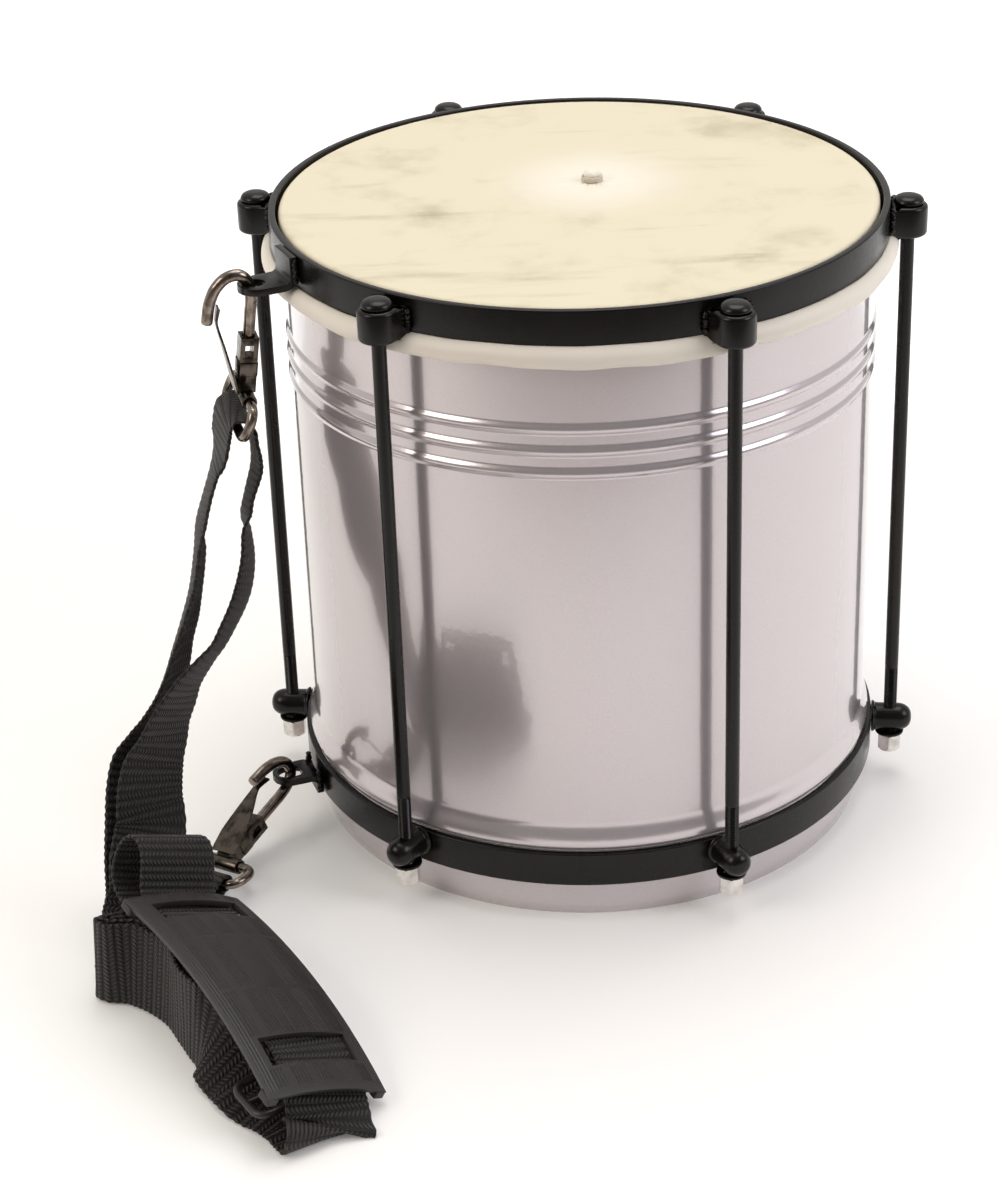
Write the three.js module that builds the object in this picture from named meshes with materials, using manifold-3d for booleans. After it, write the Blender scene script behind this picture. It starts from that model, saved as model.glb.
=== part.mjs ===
// Cuica: a Brazilian friction drum with a steel shell, a skin under a hoop pulled down by six rods,
// a thin stick tied to the middle of the skin, and a padded shoulder strap hooked on at two tabs.
// Millimetres, +Z up. The origin is on the drum's axis, on the floor that the open lower rim stands on.

import * as THREE from 'three'
import { mergeVertices } from 'three/addons/utils/BufferGeometryUtils.js'
import Module from 'manifold-3d'

const wasm = await Module()
wasm.setup()

// General values
const clearance = 0.3
const overrun = 5
const ringSegments = 48
const smallSegments = 12

// Shell
const shellRadius = 127
const shellWall = 1.2
const shellHeight = 282
const edgeRadius = 1.6
const edgeLip = 3.5
const beadCount = 3
const beadDrop = 51.2
const beadSpacing = 9.65
const beadHalfWidth = 2.4
const beadProud = 1.2
const shoulderHeight = 36.9
const shoulderProud = 2.6
const shoulderRise = 10.5
const skirtInset = 1.8
const hemDepth = 3.2

// Skin and the hoop that it is lapped round
const skinThickness = 0.9
const skinBend = 1.6
const lapRadius = 4.1
const lapStandoff = 4.4
const lapEndAngle = 120
const lapSteps = 9
const fleshHoopSides = 6

// Tensioning hoops
const hoopThickness = 3
const hoopEase = 0.6
const topHoopHeight = 15.1
const topHoopStandoff = 5.4
const topHoopProud = 0.3
const bottomHoopHeight = 15.6
const bottomHoopStandoff = 4.3

// Rods, lugs, washers and nuts
const rodCount = 6
const firstRodAngle = -6.6
const rodStandoff = 13
const rodRadius = 3
const holeClearance = 0.4
const rodChamfer = 0.8
const headRadius = 6.5
const headHeight = 3.6
const headRimHeight = 1
const earHalfWidth = 8.2
const earHeight = 13.7
const earDrop = 3.6
const earEdge = 1.5
const earWeldFlare = 2.2
const studRadius = 6.3
const studRound = 3.5
const studCollar = 1.2
const studDrop = 5.3
const washerRadius = 6.5
const washerThickness = 1.1
const nutFlats = 10
const nutHeight = 8.6
const nutCrownHeight = 1.6
const nutCrownInset = 1

// Stick tied to the skin
const stickPlace = [6.7, 15.8]
const stickRadius = 3
const stickNeckRadius = 2.6
const stickHeadRadius = 3.4
const stickHeadHeight = 1.6
const stickLength = 230
const stickKnuckle = 0.5
const stickKnuckleHeight = 3
const stickKnuckleShares = [0.34, 0.68]
const nubNeckHeight = 2.8
const nubWall = 0.7
const threadRadius = 0.45
const threadTurns = 2

// Strap tabs on the hoops
const tabThickness = 3
const tabBend = 2.2
const topTabAngle = 204.4
const topTabLength = 23.2
const topTabWidth = 17
const topTabDrop = 11.7
const topTabHole = [6.7, 4.4, 5.1]
const topTabLegInset = 0.6
const bottomTabAngle = 198.7
const bottomTabLength = 21.6
const bottomTabWidth = 16
const bottomTabDrop = 5.3
const bottomTabHole = [8.3, 4.8, 6.4]
const bottomTabLegInset = 0.8

// Snap hooks
const wireRadius = 2.5
const hookWire = [[0, 23.9], [0, 30], [0, 38], [0, 44], [1.3, 50.4], [5.3, 54.6], [10.6, 53.8],
  [15, 49.2], [17.3, 42.4], [18, 33]]
const hookWireSteps = 22
const sleeveWidth = 7.6
const sleeveDepth = 7.2
const sleeveTop = 27
const sleeveBottom = 1.5
const sleeveWindow = [3.6, 17.5, 23.5]
const barrelRadius = 3.3
const barrelLength = 20
const ringWireRadius = 2.15
const ringLength = 42
const ringHeight = 18
const ringCorner = 6.2
const ringSteps = 28
const gatePivot = [5.3, 4.4]
const gateCurl = 1.1
const gateThickness = 0.9
const gateRootWidth = 14
const gateTipWidth = 5
const gateBend = [14.2, 33.6]
const gateTip = [13.8, 40.4]
const gateNeckShare = 0.55
const upperHook = {
  place: [-143.1, -57.1, 221.6], towardsTip: [-0.951, -0.291, 0.107], along: [0.137, -0.084, 0.987],
  ringHangs: [-0.45, 0.06, -1],
}
const lowerHook = {
  place: [-166, -86.9, 7.4], towardsTip: [-0.291, -0.158, 0.944], along: [0.558, 0.773, 0.302],
  ringHangs: [-0.6, -0.79, -0.03],
}

// Shoulder strap, pad and slider
const webbingWidth = 38
const webbingThickness = 1.8
const padPlace = [-142.4, -214.6, 31.4]
const padTurn = [-24, 11.3, -57.9]
const padLength = 122.6
const padWidth = 57.8
const padThickness = 2.6
const padArch = 6.6
const padCrown = 3.56
const padLengthSteps = 22
const padWidthSteps = 8
const padSlotHalfWidth = 21.2
const padSlots = [[-53.2, -41.6], [33.9, 47.5]]
const padFoot = [7, 5, 2.6]
const sliderPlace = [-132.2, -252.6, 11.7]
const sliderAcross = [0.86, 0.48, 0.04]
const sliderAlong = [0.53, -0.82, -0.05]
const sliderLength = 32
const sliderDepth = 25
const sliderThickness = 3
const sliderCorner = 3
const sliderRail = 3.6
const sliderBar = 4

// Route of the webbing along and under the pad, as [along the pad, above its middle, tilt of its width]
const padRoute = [
  [-68, -14, 0], [-75, -14.2, 0], [-81.6, -13.2, 0], [-87.2, -9.8, 0], [-90.2, -3.6, 0],
  [-90.6, 3.6, 0], [-87.6, 9.8, 0], [-81.6, 11.6, 0], [-75.4, 8.6, 0], [-70.6, 2.4, 0],
  [-65.8, -3.2, 0], [-58, -3.6, 0], [-44, -1, 0], [-24, 1.5, 0], [0, 2.5, 0], [22, 1.6, 0],
  [40, -0.8, 0], [52, -4.2, 0.06], [60, -7.2, 0.14], [66, -11.6, 0.25],
]
// The end loop on the floor, then the two legs, as [x, y, z], the way the width points and, where
// the webbing is squeezed in the ring, the share of its width that is left
const loopRoute = [
  [-111.9, -272.6, 6.4, 0.84, 0.53, -0.16], [-113.4, -272.2, 2.4, 0.88, 0.47, -0.04],
  [-117.3, -265.6, 1.2, 0.88, 0.47, 0],
]
const legRoute = [
  [-118.4, -263.6, 1.5, 0.81, 0.59, 0.02], [-123.4, -256.8, 2.4, 0.74, 0.67, 0.07],
  [-130.6, -250.4, 3.4, 0.64, 0.76, 0.09], [-139.1, -243.7, 4.4, 0.65, 0.73, 0.2],
  [-148.4, -236.4, 10.6, 0.68, 0.49, 0.54], [-160.6, -229.6, 18.8, 0.44, 0.07, 0.9],
  [-168.8, -222, 19.5, -0.03, -0.05, 1], [-176.3, -209.7, 19.4, -0.1, -0.05, 0.99],
  [-183.4, -194.2, 19.5, -0.03, -0.03, 1], [-198, -181, 19.5, 0, 0, 1], [-208, -178, 19.5, 0, 0, 1],
  [-211.2, -173, 19.5, 0.05, 0.09, 0.99], [-209.6, -169.2, 18.8, 0.19, 0.11, 0.98],
  [-202, -161, 16.4, 0.33, -0.09, 0.94], [-197.5, -154, 16, 0.75, -0.4, 0.52],
  [-194.5, -146, 17, 0.97, -0.17, -0.2], [-192.5, -136, 25, 0.86, 0.34, -0.37],
  [-193, -127.5, 37.4, 0.77, 0.5, -0.39], [-191.3, -118.3, 49.7, 0.7, 0.58, -0.41],
  [-191.6, -115, 57.5, 0.66, 0.69, -0.3], [-190.9, -111.9, 65.4, 0.63, 0.68, -0.38],
  [-189, -108.7, 73.2, 0.56, 0.68, -0.47], [-185.3, -105.7, 81, 0.45, 0.76, -0.48],
  [-182, -103, 88.9, 0.36, 0.82, -0.46], [-177.8, -100.2, 96.6, 0.29, 0.83, -0.47],
  [-173.1, -97.4, 104.3, 0.17, 0.85, -0.5], [-165.3, -93.3, 112.7, -0.17, 0.93, -0.34],
  [-159.3, -89.6, 118.8, -0.15, 0.9, -0.41], [-154.8, -85.7, 125.6, -0.17, 0.9, -0.4],
  [-150.5, -81.5, 132.9, -0.21, 0.89, -0.4], [-148, -78.2, 138.6, 0.04, 0.88, -0.47],
  [-146.1, -74.8, 146.1, 0.06, 0.91, -0.4], [-145.3, -71.7, 153.8, 0.02, 0.92, -0.38],
  [-145.7, -68.5, 161.3, -0.03, 0.92, -0.4], [-146, -65.2, 168.6, -0.18, 0.92, -0.35],
  [-144.2, -62.3, 176.6, -0.14, 0.95, -0.29], [-140.7, -58.5, 188.4, -0.06, 0.97, -0.24],
  [-140.6, -57.2, 196.5, -0.2, 0.98, -0.1, 0.95], [-141.6, -57.1, 203, -0.23, 0.97, -0.04, 0.86],
  [-142.2, -57.1, 208.4, -0.25, 0.97, -0.04, 0.80], [-143.9, -57.1, 211.9, -0.14, 0.99, -0.1, 0.76],
  [-146.2, -57.1, 213.9, 0.01, 1, 0.05, 0.74], [-149.5, -57.1, 213.6, -0.08, 0.97, 0.21, 0.74],
  [-152.5, -57, 210.4, -0.25, 0.95, 0.16, 0.76], [-153.9, -57, 205.2, -0.28, 0.96, 0.02, 0.82],
  [-155.2, -57.6, 198.6, -0.25, 0.97, -0.03, 0.9], [-157.7, -58.2, 189.2, -0.14, 0.97, -0.19],
  [-161.8, -62.9, 177.1, -0.15, 0.93, -0.33], [-164.9, -67.5, 166.3, -0.16, 0.91, -0.37],
  [-165.9, -72.4, 155.6, -0.04, 0.91, -0.41], [-168.2, -78.7, 141.8, -0.02, 0.91, -0.41],
  [-171.7, -84.1, 129.6, 0.06, 0.93, -0.36], [-175.9, -87.4, 117.6, 0.12, 0.95, -0.29],
  [-178.8, -89.8, 107.6, 0.18, 0.94, -0.28], [-182.6, -92.1, 97.4, 0.23, 0.91, -0.34],
  [-187.2, -95.1, 87.7, 0.28, 0.85, -0.45], [-191.8, -99, 78.6, 0.39, 0.74, -0.55],
  [-195, -103.9, 70.2, 0.57, 0.63, -0.53], [-196.1, -109.8, 61.3, 0.65, 0.63, -0.43],
  [-196.4, -116.4, 49.8, 0.69, 0.64, -0.34], [-196, -123, 36.5, 0.77, 0.59, -0.26],
  [-194.5, -131.6, 21.3, 0.87, 0.4, -0.28], [-193.8, -144.6, 12.6, 1, -0.03, -0.08],
  [-195.8, -154, 12.2, 0.8, -0.2, 0.56], [-200, -162.6, 14.9, 0.43, 0.05, 0.9],
  [-207.6, -170.4, 18.8, 0.27, 0.2, 0.94], [-208.4, -173, 19.5, -0.01, 0.15, 0.99],
  [-205.4, -174.8, 19.5, 0, 0, 1], [-196.2, -177.8, 19.5, 0, 0, 1],
  [-180.8, -192.4, 19.5, -0.03, -0.03, 1], [-173, -208.6, 19.4, -0.1, -0.06, 0.99],
  [-165.4, -221, 19.4, -0.01, -0.05, 1], [-157.6, -227, 18.6, 0.19, 0.11, 0.98],
]
const legSteps = 150
const padRunSteps = 60
const sewnRoute = [
  [-189.4, -117.5, 2.4, -0.78, 0.61, -0.05, 0.9], [-179.9, -105.2, 3, -0.78, 0.61, -0.1, 0.8],
  [-174.5, -98.2, 3.5, -0.78, 0.61, -0.13, 0.74], [-172.7, -95.9, 4.6, -0.78, 0.61, -0.13, 0.74],
  [-172.1, -95.1, 7, -0.78, 0.61, -0.13, 0.74], [-172.7, -95.9, 9.5, -0.78, 0.61, -0.13, 0.74],
  [-174.5, -98.2, 10.6, -0.78, 0.61, -0.13, 0.74], [-180.3, -105.5, 8.8, -0.78, 0.61, -0.1, 0.86],
  [-186.3, -113.3, 6.6, -0.78, 0.61, -0.05], [-195.6, -125.4, 5.4, -0.78, 0.61, -0.03],
]
const sewnSteps = 20

// Finishes as three.js materials
const finish = {
  shell: { color: 0xb4b3bf, roughness: 0.22, metalness: 0.75 },
  skin: { color: 0xe9e2c8, roughness: 0.6, metalness: 0 },
  blackEnamel: { color: 0x1b1918, roughness: 0.28, metalness: 0.1 },
  zinc: { color: 0xd9d7d2, roughness: 0.2, metalness: 1 },
  nickel: { color: 0x8b7f74, roughness: 0.25, metalness: 1 },
  steel: { color: 0xa5a5a8, roughness: 0.35, metalness: 1 },
  bamboo: { color: 0xc9a86a, roughness: 0.55, metalness: 0 },
  thread: { color: 0xe6dfcc, roughness: 0.8, metalness: 0 },
  webbing: { color: 0x141313, roughness: 0.85, metalness: 0 },
  rubber: { color: 0x3d393a, roughness: 0.6, metalness: 0 },
}

const cuica = new THREE.Group()

function addPart(parent, name, geometry, look) {
  const mesh = new THREE.Mesh(geometry, new THREE.MeshStandardMaterial(finish[look]))
  mesh.name = name
  parent.add(mesh)
  return mesh
}

function radians(degrees) {
  return THREE.MathUtils.degToRad(degrees)
}

// Closed geometry with shared vertices and no triangle folded onto a line
function welded(geometry) {
  const bare = geometry.clone()
  bare.deleteAttribute('normal')
  bare.deleteAttribute('uv')
  const merged = mergeVertices(bare)
  const old = merged.index.array
  const kept = []
  for (let i = 0; i < old.length; i += 3) {
    const [a, b, c] = [old[i], old[i + 1], old[i + 2]]
    if (a !== b && b !== c && c !== a) kept.push(a, b, c)
  }
  merged.setIndex(kept)
  return merged
}

function toSolid(geometry) {
  const shape = welded(geometry)
  return new wasm.Manifold(new wasm.Mesh({
    numProp: 3,
    vertProperties: new Float32Array(shape.attributes.position.array),
    triVerts: new Uint32Array(shape.index.array),
  }))
}

function toGeometry(solid) {
  const mesh = solid.getMesh()
  const geometry = new THREE.BufferGeometry()
  geometry.setAttribute('position', new THREE.BufferAttribute(mesh.vertProperties, mesh.numProp))
  geometry.setIndex(new THREE.BufferAttribute(mesh.triVerts, 1))
  return geometry
}

// Revolve a closed outline of [radius, height] pairs, listed anticlockwise, about the vertical axis
function revolve(outline, segments = ringSegments) {
  const points = outline.map(([radius, height]) => new THREE.Vector2(radius, height))
  const onAxis = points[0].x === 0 && points[points.length - 1].x === 0
  if (!onAxis) points.push(points[0].clone())
  return welded(new THREE.LatheGeometry(points, segments).rotateX(Math.PI / 2))
}

// Points of an arc from one angle to another, in degrees
function arc(centreX, centreY, radius, from, to, steps) {
  const points = []
  for (let i = 0; i <= steps; i++) {
    const angle = radians(from + (to - from) * i / steps)
    points.push([centreX + radius * Math.cos(angle), centreY + radius * Math.sin(angle)])
  }
  return points
}

// An outline moved sideways along its own normals, to the right of its direction
function offsetOutline(points, distance) {
  return points.map((point, i) => {
    const before = points[Math.max(i - 1, 0)]
    const after = points[Math.min(i + 1, points.length - 1)]
    const dx = after[0] - before[0]
    const dy = after[1] - before[1]
    const length = Math.hypot(dx, dy)
    return [point[0] + distance * dy / length, point[1] - distance * dx / length]
  })
}

function extrudeShape(points, depth, holes = [], bevel = 0) {
  const shape = new THREE.Shape(points.map(([x, y]) => new THREE.Vector2(x, y)))
  for (const hole of holes) {
    shape.holes.push(new THREE.Path(hole.map(([x, y]) => new THREE.Vector2(x, y))))
  }
  const geometry = new THREE.ExtrudeGeometry(shape, {
    depth: depth - 2 * bevel,
    bevelEnabled: bevel > 0,
    bevelThickness: bevel,
    bevelSize: bevel,
    bevelOffset: -bevel,
    bevelSegments: 1,
    steps: 1,
  })
  return geometry.translate(0, 0, bevel)
}

function tubeAlong(points, radius, steps, sides) {
  const curve = new THREE.CatmullRomCurve3(points.map((p) => new THREE.Vector3(...p)), false, 'centripetal')
  const section = new THREE.Shape()
  section.absarc(0, 0, radius, 0, 2 * Math.PI, false)
  return new THREE.ExtrudeGeometry(section, {
    steps, extrudePath: curve, curveSegments: sides, bevelEnabled: false,
  })
}

function cylinderAlongZ(radius, from, to, segments = smallSegments) {
  return revolve([[0, from], [radius, from], [radius, to], [0, to]], segments)
}

// Radii and heights that follow from the driving values
const lapCentreRadius = shellRadius + lapStandoff
const topHoopRadius = shellRadius + topHoopStandoff
const bottomHoopRadius = shellRadius + bottomHoopStandoff
const rodCircle = shellRadius + rodStandoff
const studRoundCentre = rodCircle + studRound
const skinTop = shellHeight + clearance + skinThickness
const hoopTop = skinTop + topHoopProud
const topHoopBottom = hoopTop - topHoopHeight
const lapCentre = topHoopBottom - clearance - lapRadius
const shoulderUnder = shoulderHeight - shoulderProud
const bottomHoopTop = shoulderUnder - 1.4 * clearance
const bottomHoopBottom = bottomHoopTop - bottomHoopHeight
const earTop = hoopTop - earDrop
const studCentre = bottomHoopTop - studDrop
const washerTop = studCentre - studRadius - clearance
const nutTop = washerTop - washerThickness - clearance
const nutBottom = nutTop - nutHeight
const rodHole = (rodRadius + holeClearance) / Math.cos(Math.PI / smallSegments)

// Outer wall of the shell from the floor up: skirt, shoulder, plain wall, three beads, curled edge
function shellWallOutline() {
  const skirt = shellRadius - skirtInset
  const swell = shellRadius + shoulderProud
  const points = [[skirt, 0], [skirt, shoulderUnder - shoulderRise / 2]]
  points.push([skirt + skirtInset / 2, shoulderUnder - skirtInset])
  points.push([swell - shoulderProud / 2, shoulderUnder])
  points.push([swell, shoulderHeight])
  points.push([swell - shoulderProud / 3, shoulderHeight + shoulderRise / 3])
  points.push([shellRadius, shoulderHeight + shoulderRise])
  for (let i = beadCount - 1; i >= 0; i--) {
    const middle = shellHeight - beadDrop - i * beadSpacing
    points.push([shellRadius, middle - beadHalfWidth])
    points.push([shellRadius + beadProud, middle - beadHalfWidth / 3])
    points.push([shellRadius + beadProud, middle + beadHalfWidth / 3])
    points.push([shellRadius, middle + beadHalfWidth])
  }
  points.push(...arc(shellRadius - edgeRadius, shellHeight - edgeRadius, edgeRadius, 0, 90, 3))
  return points
}

function makeShell() {
  const outer = shellWallOutline()
  const lip = shellRadius - edgeRadius - edgeLip
  const inner = offsetOutline(outer.slice(0, -4), -shellWall).reverse()
  const skirt = shellRadius - skirtInset
  inner[inner.length - 1] = [skirt - shellWall, shellWall]
  const outline = [
    [skirt - hemDepth, 0], ...outer,
    [lip, shellHeight], [lip, shellHeight - shellWall],
    [shellRadius - edgeRadius, shellHeight - shellWall],
    [shellRadius - shellWall, shellHeight - edgeRadius],
    ...inner, [skirt - hemDepth, shellWall],
  ]
  addPart(cuica, 'shell', revolve(outline), 'shell')
}

// The skin runs flat to the edge, turns down outside the shell and is lapped round the flesh hoop
function skinOutline() {
  const under = skinTop - skinThickness
  const collarInside = lapCentreRadius - lapRadius
  const collarOutside = collarInside + skinThickness
  const bendCentre = collarInside - skinBend
  const lapInside = lapRadius - skinThickness
  const lapEnd = 360 + lapEndAngle
  return [
    [0, under],
    ...arc(bendCentre, under - skinBend, skinBend, 90, 0, 2),
    ...arc(lapCentreRadius, lapCentre, lapRadius, 180, lapEnd, lapSteps),
    ...arc(lapCentreRadius, lapCentre, lapInside, lapEnd, 180, lapSteps),
    [collarOutside, under - skinBend],
    ...arc(bendCentre, under - skinBend, skinBend + skinThickness, 0, 90, 2).slice(1),
    [0, skinTop],
  ]
}

// Over the stick's head the skin stands up as a small nub with a neck for the binding
const nubNeck = stickNeckRadius + clearance
const nubHead = stickHeadRadius + clearance
const nubNeckTop = skinTop + nubNeckHeight
const stickTop = nubNeckTop + stickHeadHeight

function nubOutline(grow) {
  return [
    [0, skinTop - overrun * (1 - grow / nubWall) - skinThickness / 2],
    [nubNeck + grow, skinTop - overrun * (1 - grow / nubWall) - skinThickness / 2],
    [nubNeck + grow, nubNeckTop - 2 * clearance],
    [nubHead + grow, nubNeckTop + stickHeadHeight / 3],
    [nubHead + grow, stickTop - clearance],
    [nubHead / 2 + grow, stickTop + clearance + grow / 2],
    [0, stickTop + clearance + grow],
  ]
}

function makeSkin() {
  const nub = revolve(nubOutline(nubWall), smallSegments).translate(...stickPlace, 0)
  const hollow = revolve(nubOutline(0), smallSegments).translate(...stickPlace, 0)
  const skin = toSolid(revolve(skinOutline())).add(toSolid(nub)).subtract(toSolid(hollow))
  addPart(cuica, 'head_skin', toGeometry(skin), 'skin')
  const ringRadius = lapRadius - skinThickness - 1.5 * clearance
  const ring = arc(lapCentreRadius, lapCentre, ringRadius, 0, 360, fleshHoopSides).slice(0, -1)
  addPart(cuica, 'flesh_hoop', revolve(ring), 'steel')
}

function makeStick() {
  const bottom = stickTop - stickLength
  const neckBottom = skinTop - skinThickness - clearance
  const outline = [[0, bottom], [stickRadius, bottom]]
  for (const share of stickKnuckleShares) {
    const middle = bottom + share * stickLength
    outline.push([stickRadius, middle - stickKnuckleHeight])
    outline.push([stickRadius + stickKnuckle, middle])
    outline.push([stickRadius, middle + stickKnuckleHeight])
  }
  outline.push([stickRadius, neckBottom - stickKnuckle], [stickNeckRadius, neckBottom])
  outline.push([stickNeckRadius, nubNeckTop - clearance])
  outline.push([stickHeadRadius, nubNeckTop + stickHeadHeight / 3])
  outline.push([stickHeadRadius, stickTop - stickHeadHeight / 3])
  outline.push([stickHeadRadius / 2, stickTop], [0, stickTop])
  const stick = revolve(outline, smallSegments).translate(...stickPlace, 0)
  addPart(cuica, 'friction_stick', stick, 'bamboo')

  // The turns of thread lie on each other round the neck of the nub
  const inside = nubNeck + nubWall + clearance
  const outside = inside + 2 * threadRadius
  const turns = []
  for (let i = 0; i < threadTurns; i++) {
    const low = skinTop + clearance + 2 * i * threadRadius
    turns.push([outside - threadRadius / 2, low], [outside, low + threadRadius])
  }
  const top = skinTop + clearance + 2 * threadTurns * threadRadius
  const binding = [[inside, skinTop + clearance], ...turns, [outside - threadRadius / 2, top], [inside, top]]
  const wound = revolve(binding, smallSegments).translate(...stickPlace, 0)
  addPart(cuica, 'stick_binding', wound, 'thread')
}

function hoopOutline(radius, bottom, height) {
  const inside = radius - hoopThickness
  const top = bottom + height
  return [
    [inside, bottom], [radius - hoopEase, bottom], [radius, bottom + hoopEase],
    [radius, top - hoopEase], [radius - hoopEase, top], [inside, top],
  ]
}

function makeHoops() {
  const top = hoopOutline(topHoopRadius, topHoopBottom, topHoopHeight)
  addPart(cuica, 'top_hoop', revolve(top), 'blackEnamel')
  const bottom = hoopOutline(bottomHoopRadius, bottomHoopBottom, bottomHoopHeight)
  addPart(cuica, 'bottom_hoop', revolve(bottom), 'blackEnamel')
}

// A welded ear on the top hoop, round in plan, with its sides flared out where they meet the hoop
function earGeometry() {
  const face = topHoopRadius + clearance
  const flare = earHalfWidth + earWeldFlare
  const outline = [
    [face, -flare], [face + earWeldFlare, -earHalfWidth],
    ...arc(rodCircle, 0, earHalfWidth, -90, 90, 8),
    [face + earWeldFlare, earHalfWidth], [face, flare],
  ]
  const block = extrudeShape(outline, earHeight, [], earEdge).translate(0, 0, earTop - earHeight)
  const bore = cylinderAlongZ(rodHole, earTop - earHeight - overrun, earTop + overrun)
  const lapOutside = lapCentreRadius + lapRadius + clearance
  const step = extrudeShape([[face - overrun, -2 * flare], [lapOutside, -2 * flare],
    [lapOutside, 2 * flare], [face - overrun, 2 * flare]], earHeight)
  return toGeometry(toSolid(block).subtract(toSolid(bore.translate(rodCircle, 0, 0)))
    .subtract(toSolid(step.translate(0, 0, topHoopBottom - earHeight))))
}

// A round stud that points outwards from the bottom hoop, domed at its end and bored for the rod
function studGeometry() {
  const face = bottomHoopRadius + clearance
  const outline = [
    [0, face], [studRadius + studCollar, face], [studRadius + studCollar, face + studCollar / 2],
    [studRadius, face + 1.3 * studCollar],
    ...arc(0, studRoundCentre, studRadius, 0, 90, 3).map(([radius, out]) => [Math.max(radius, 0), out]),
  ]
  outline[outline.length - 1][0] = 0
  const stud = revolve(outline, smallSegments).rotateY(Math.PI / 2).translate(0, 0, studCentre)
  const bore = cylinderAlongZ(rodHole, studCentre - 2 * studRadius, studCentre + 2 * studRadius)
  return toGeometry(toSolid(stud).subtract(toSolid(bore.translate(rodCircle, 0, 0))))
}

// A rod with a low domed head that rests on the ear, and a chamfered end inside the nut
function rodOutline() {
  const seat = earTop + clearance
  return [
    [0, nutBottom + nutCrownHeight], [rodRadius - rodChamfer, nutBottom + nutCrownHeight],
    [rodRadius, nutBottom + nutCrownHeight + rodChamfer], [rodRadius, seat],
    [headRadius - rodChamfer / 2, seat], [headRadius, seat + headRimHeight],
    [0.8 * headRadius, seat + 0.72 * headHeight], [0.45 * headRadius, seat + 0.94 * headHeight],
    [0, seat + headHeight],
  ]
}

function washerOutline() {
  return [[rodHole, washerTop - washerThickness], [washerRadius, washerTop - washerThickness],
    [washerRadius, washerTop], [rodHole, washerTop]]
}

// A hexagon whose lower end is turned down to a low crown, with a plain round bore
function nutGeometry() {
  const corner = nutFlats / 2 / Math.cos(Math.PI / rodCount)
  const hexagon = arc(0, 0, corner, 0, 360, 6).slice(0, -1)
  const prism = extrudeShape(hexagon, nutHeight).translate(0, 0, nutBottom)
  const turned = revolve([
    [0, nutBottom], [corner - nutCrownInset - nutCrownHeight / 2, nutBottom],
    [corner + clearance, nutBottom + nutCrownHeight + nutCrownInset],
    [corner + clearance, nutTop + overrun], [0, nutTop + overrun],
  ], smallSegments)
  const bore = cylinderAlongZ(rodHole, nutBottom - overrun, nutTop + overrun)
  return toGeometry(toSolid(prism).intersect(toSolid(turned)).subtract(toSolid(bore)))
}

function makeTensioning() {
  const ear = earGeometry()
  const stud = studGeometry()
  const rod = revolve(rodOutline(), smallSegments)
  const washer = revolve(washerOutline(), smallSegments)
  const nut = nutGeometry()
  for (let i = 0; i < rodCount; i++) {
    const station = new THREE.Group()
    station.rotation.z = radians(firstRodAngle + i * 360 / rodCount)
    cuica.add(station)
    const number = i + 1
    addPart(station, `top_lug_${number}`, ear, 'blackEnamel')
    addPart(station, `bottom_lug_${number}`, stud, 'blackEnamel')
    addPart(station, `tension_rod_${number}`, rod, 'blackEnamel').position.x = rodCircle
    addPart(station, `washer_${number}`, washer, 'blackEnamel').position.x = rodCircle
    addPart(station, `hex_nut_${number}`, nut, 'zinc').position.x = rodCircle
  }
}

// A strip bent to a right angle: a leg against the hoop and a tab with a hole that stands outwards
function tabGeometry(face, tabTop, legEnd, length, width, hole) {
  const up = legEnd > tabTop
  const bottom = tabTop - tabThickness
  const outer = tabBend + tabThickness
  const half = width / 2
  const reach = face + length
  const foot = up ? bottom : tabTop
  const side = up ? 1 : -1
  const leg = [
    [face, legEnd], ...arc(face + outer, foot + side * outer, outer, 180, 180 + side * 90, 3),
    [face + outer + tabThickness, foot], [face + outer + tabThickness, foot + side * tabThickness],
    ...arc(face + outer, foot + side * outer, tabBend, 180 + side * 90, 180, 3),
    [face + tabThickness, legEnd],
  ]
  const plan = [
    [face + outer, -half], ...arc(reach - half, 0, half, -90, 90, 8), [face + outer, half],
  ]
  const [holeInset, holeHalfWidth, holeHalfLength] = hole
  const opening = arc(0, 0, 1, 0, 360, smallSegments).slice(0, -1)
    .map(([x, y]) => [reach - holeInset + holeHalfLength * x, holeHalfWidth * y])
  const plate = extrudeShape(plan, tabThickness, [opening.reverse()]).translate(0, 0, bottom)
  const bent = extrudeShape(up ? leg : leg.reverse(), width).rotateX(Math.PI / 2).translate(0, half, 0)
  return toGeometry(toSolid(plate).add(toSolid(bent)))
}

const topTabTop = hoopTop - topTabDrop
const bottomTabTop = bottomHoopTop - bottomTabDrop

function makeTabs() {
  const top = tabGeometry(topHoopRadius + clearance, topTabTop, hoopTop - topTabLegInset,
    topTabLength - clearance, topTabWidth, topTabHole)
  addPart(cuica, 'top_strap_tab', top, 'blackEnamel').rotation.z = radians(topTabAngle)
  const bottom = tabGeometry(bottomHoopRadius + clearance, bottomTabTop,
    bottomHoopBottom + bottomTabLegInset, bottomTabLength - clearance, bottomTabWidth, bottomTabHole)
  addPart(cuica, 'bottom_strap_tab', bottom, 'blackEnamel').rotation.z = radians(bottomTabAngle)
}

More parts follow.
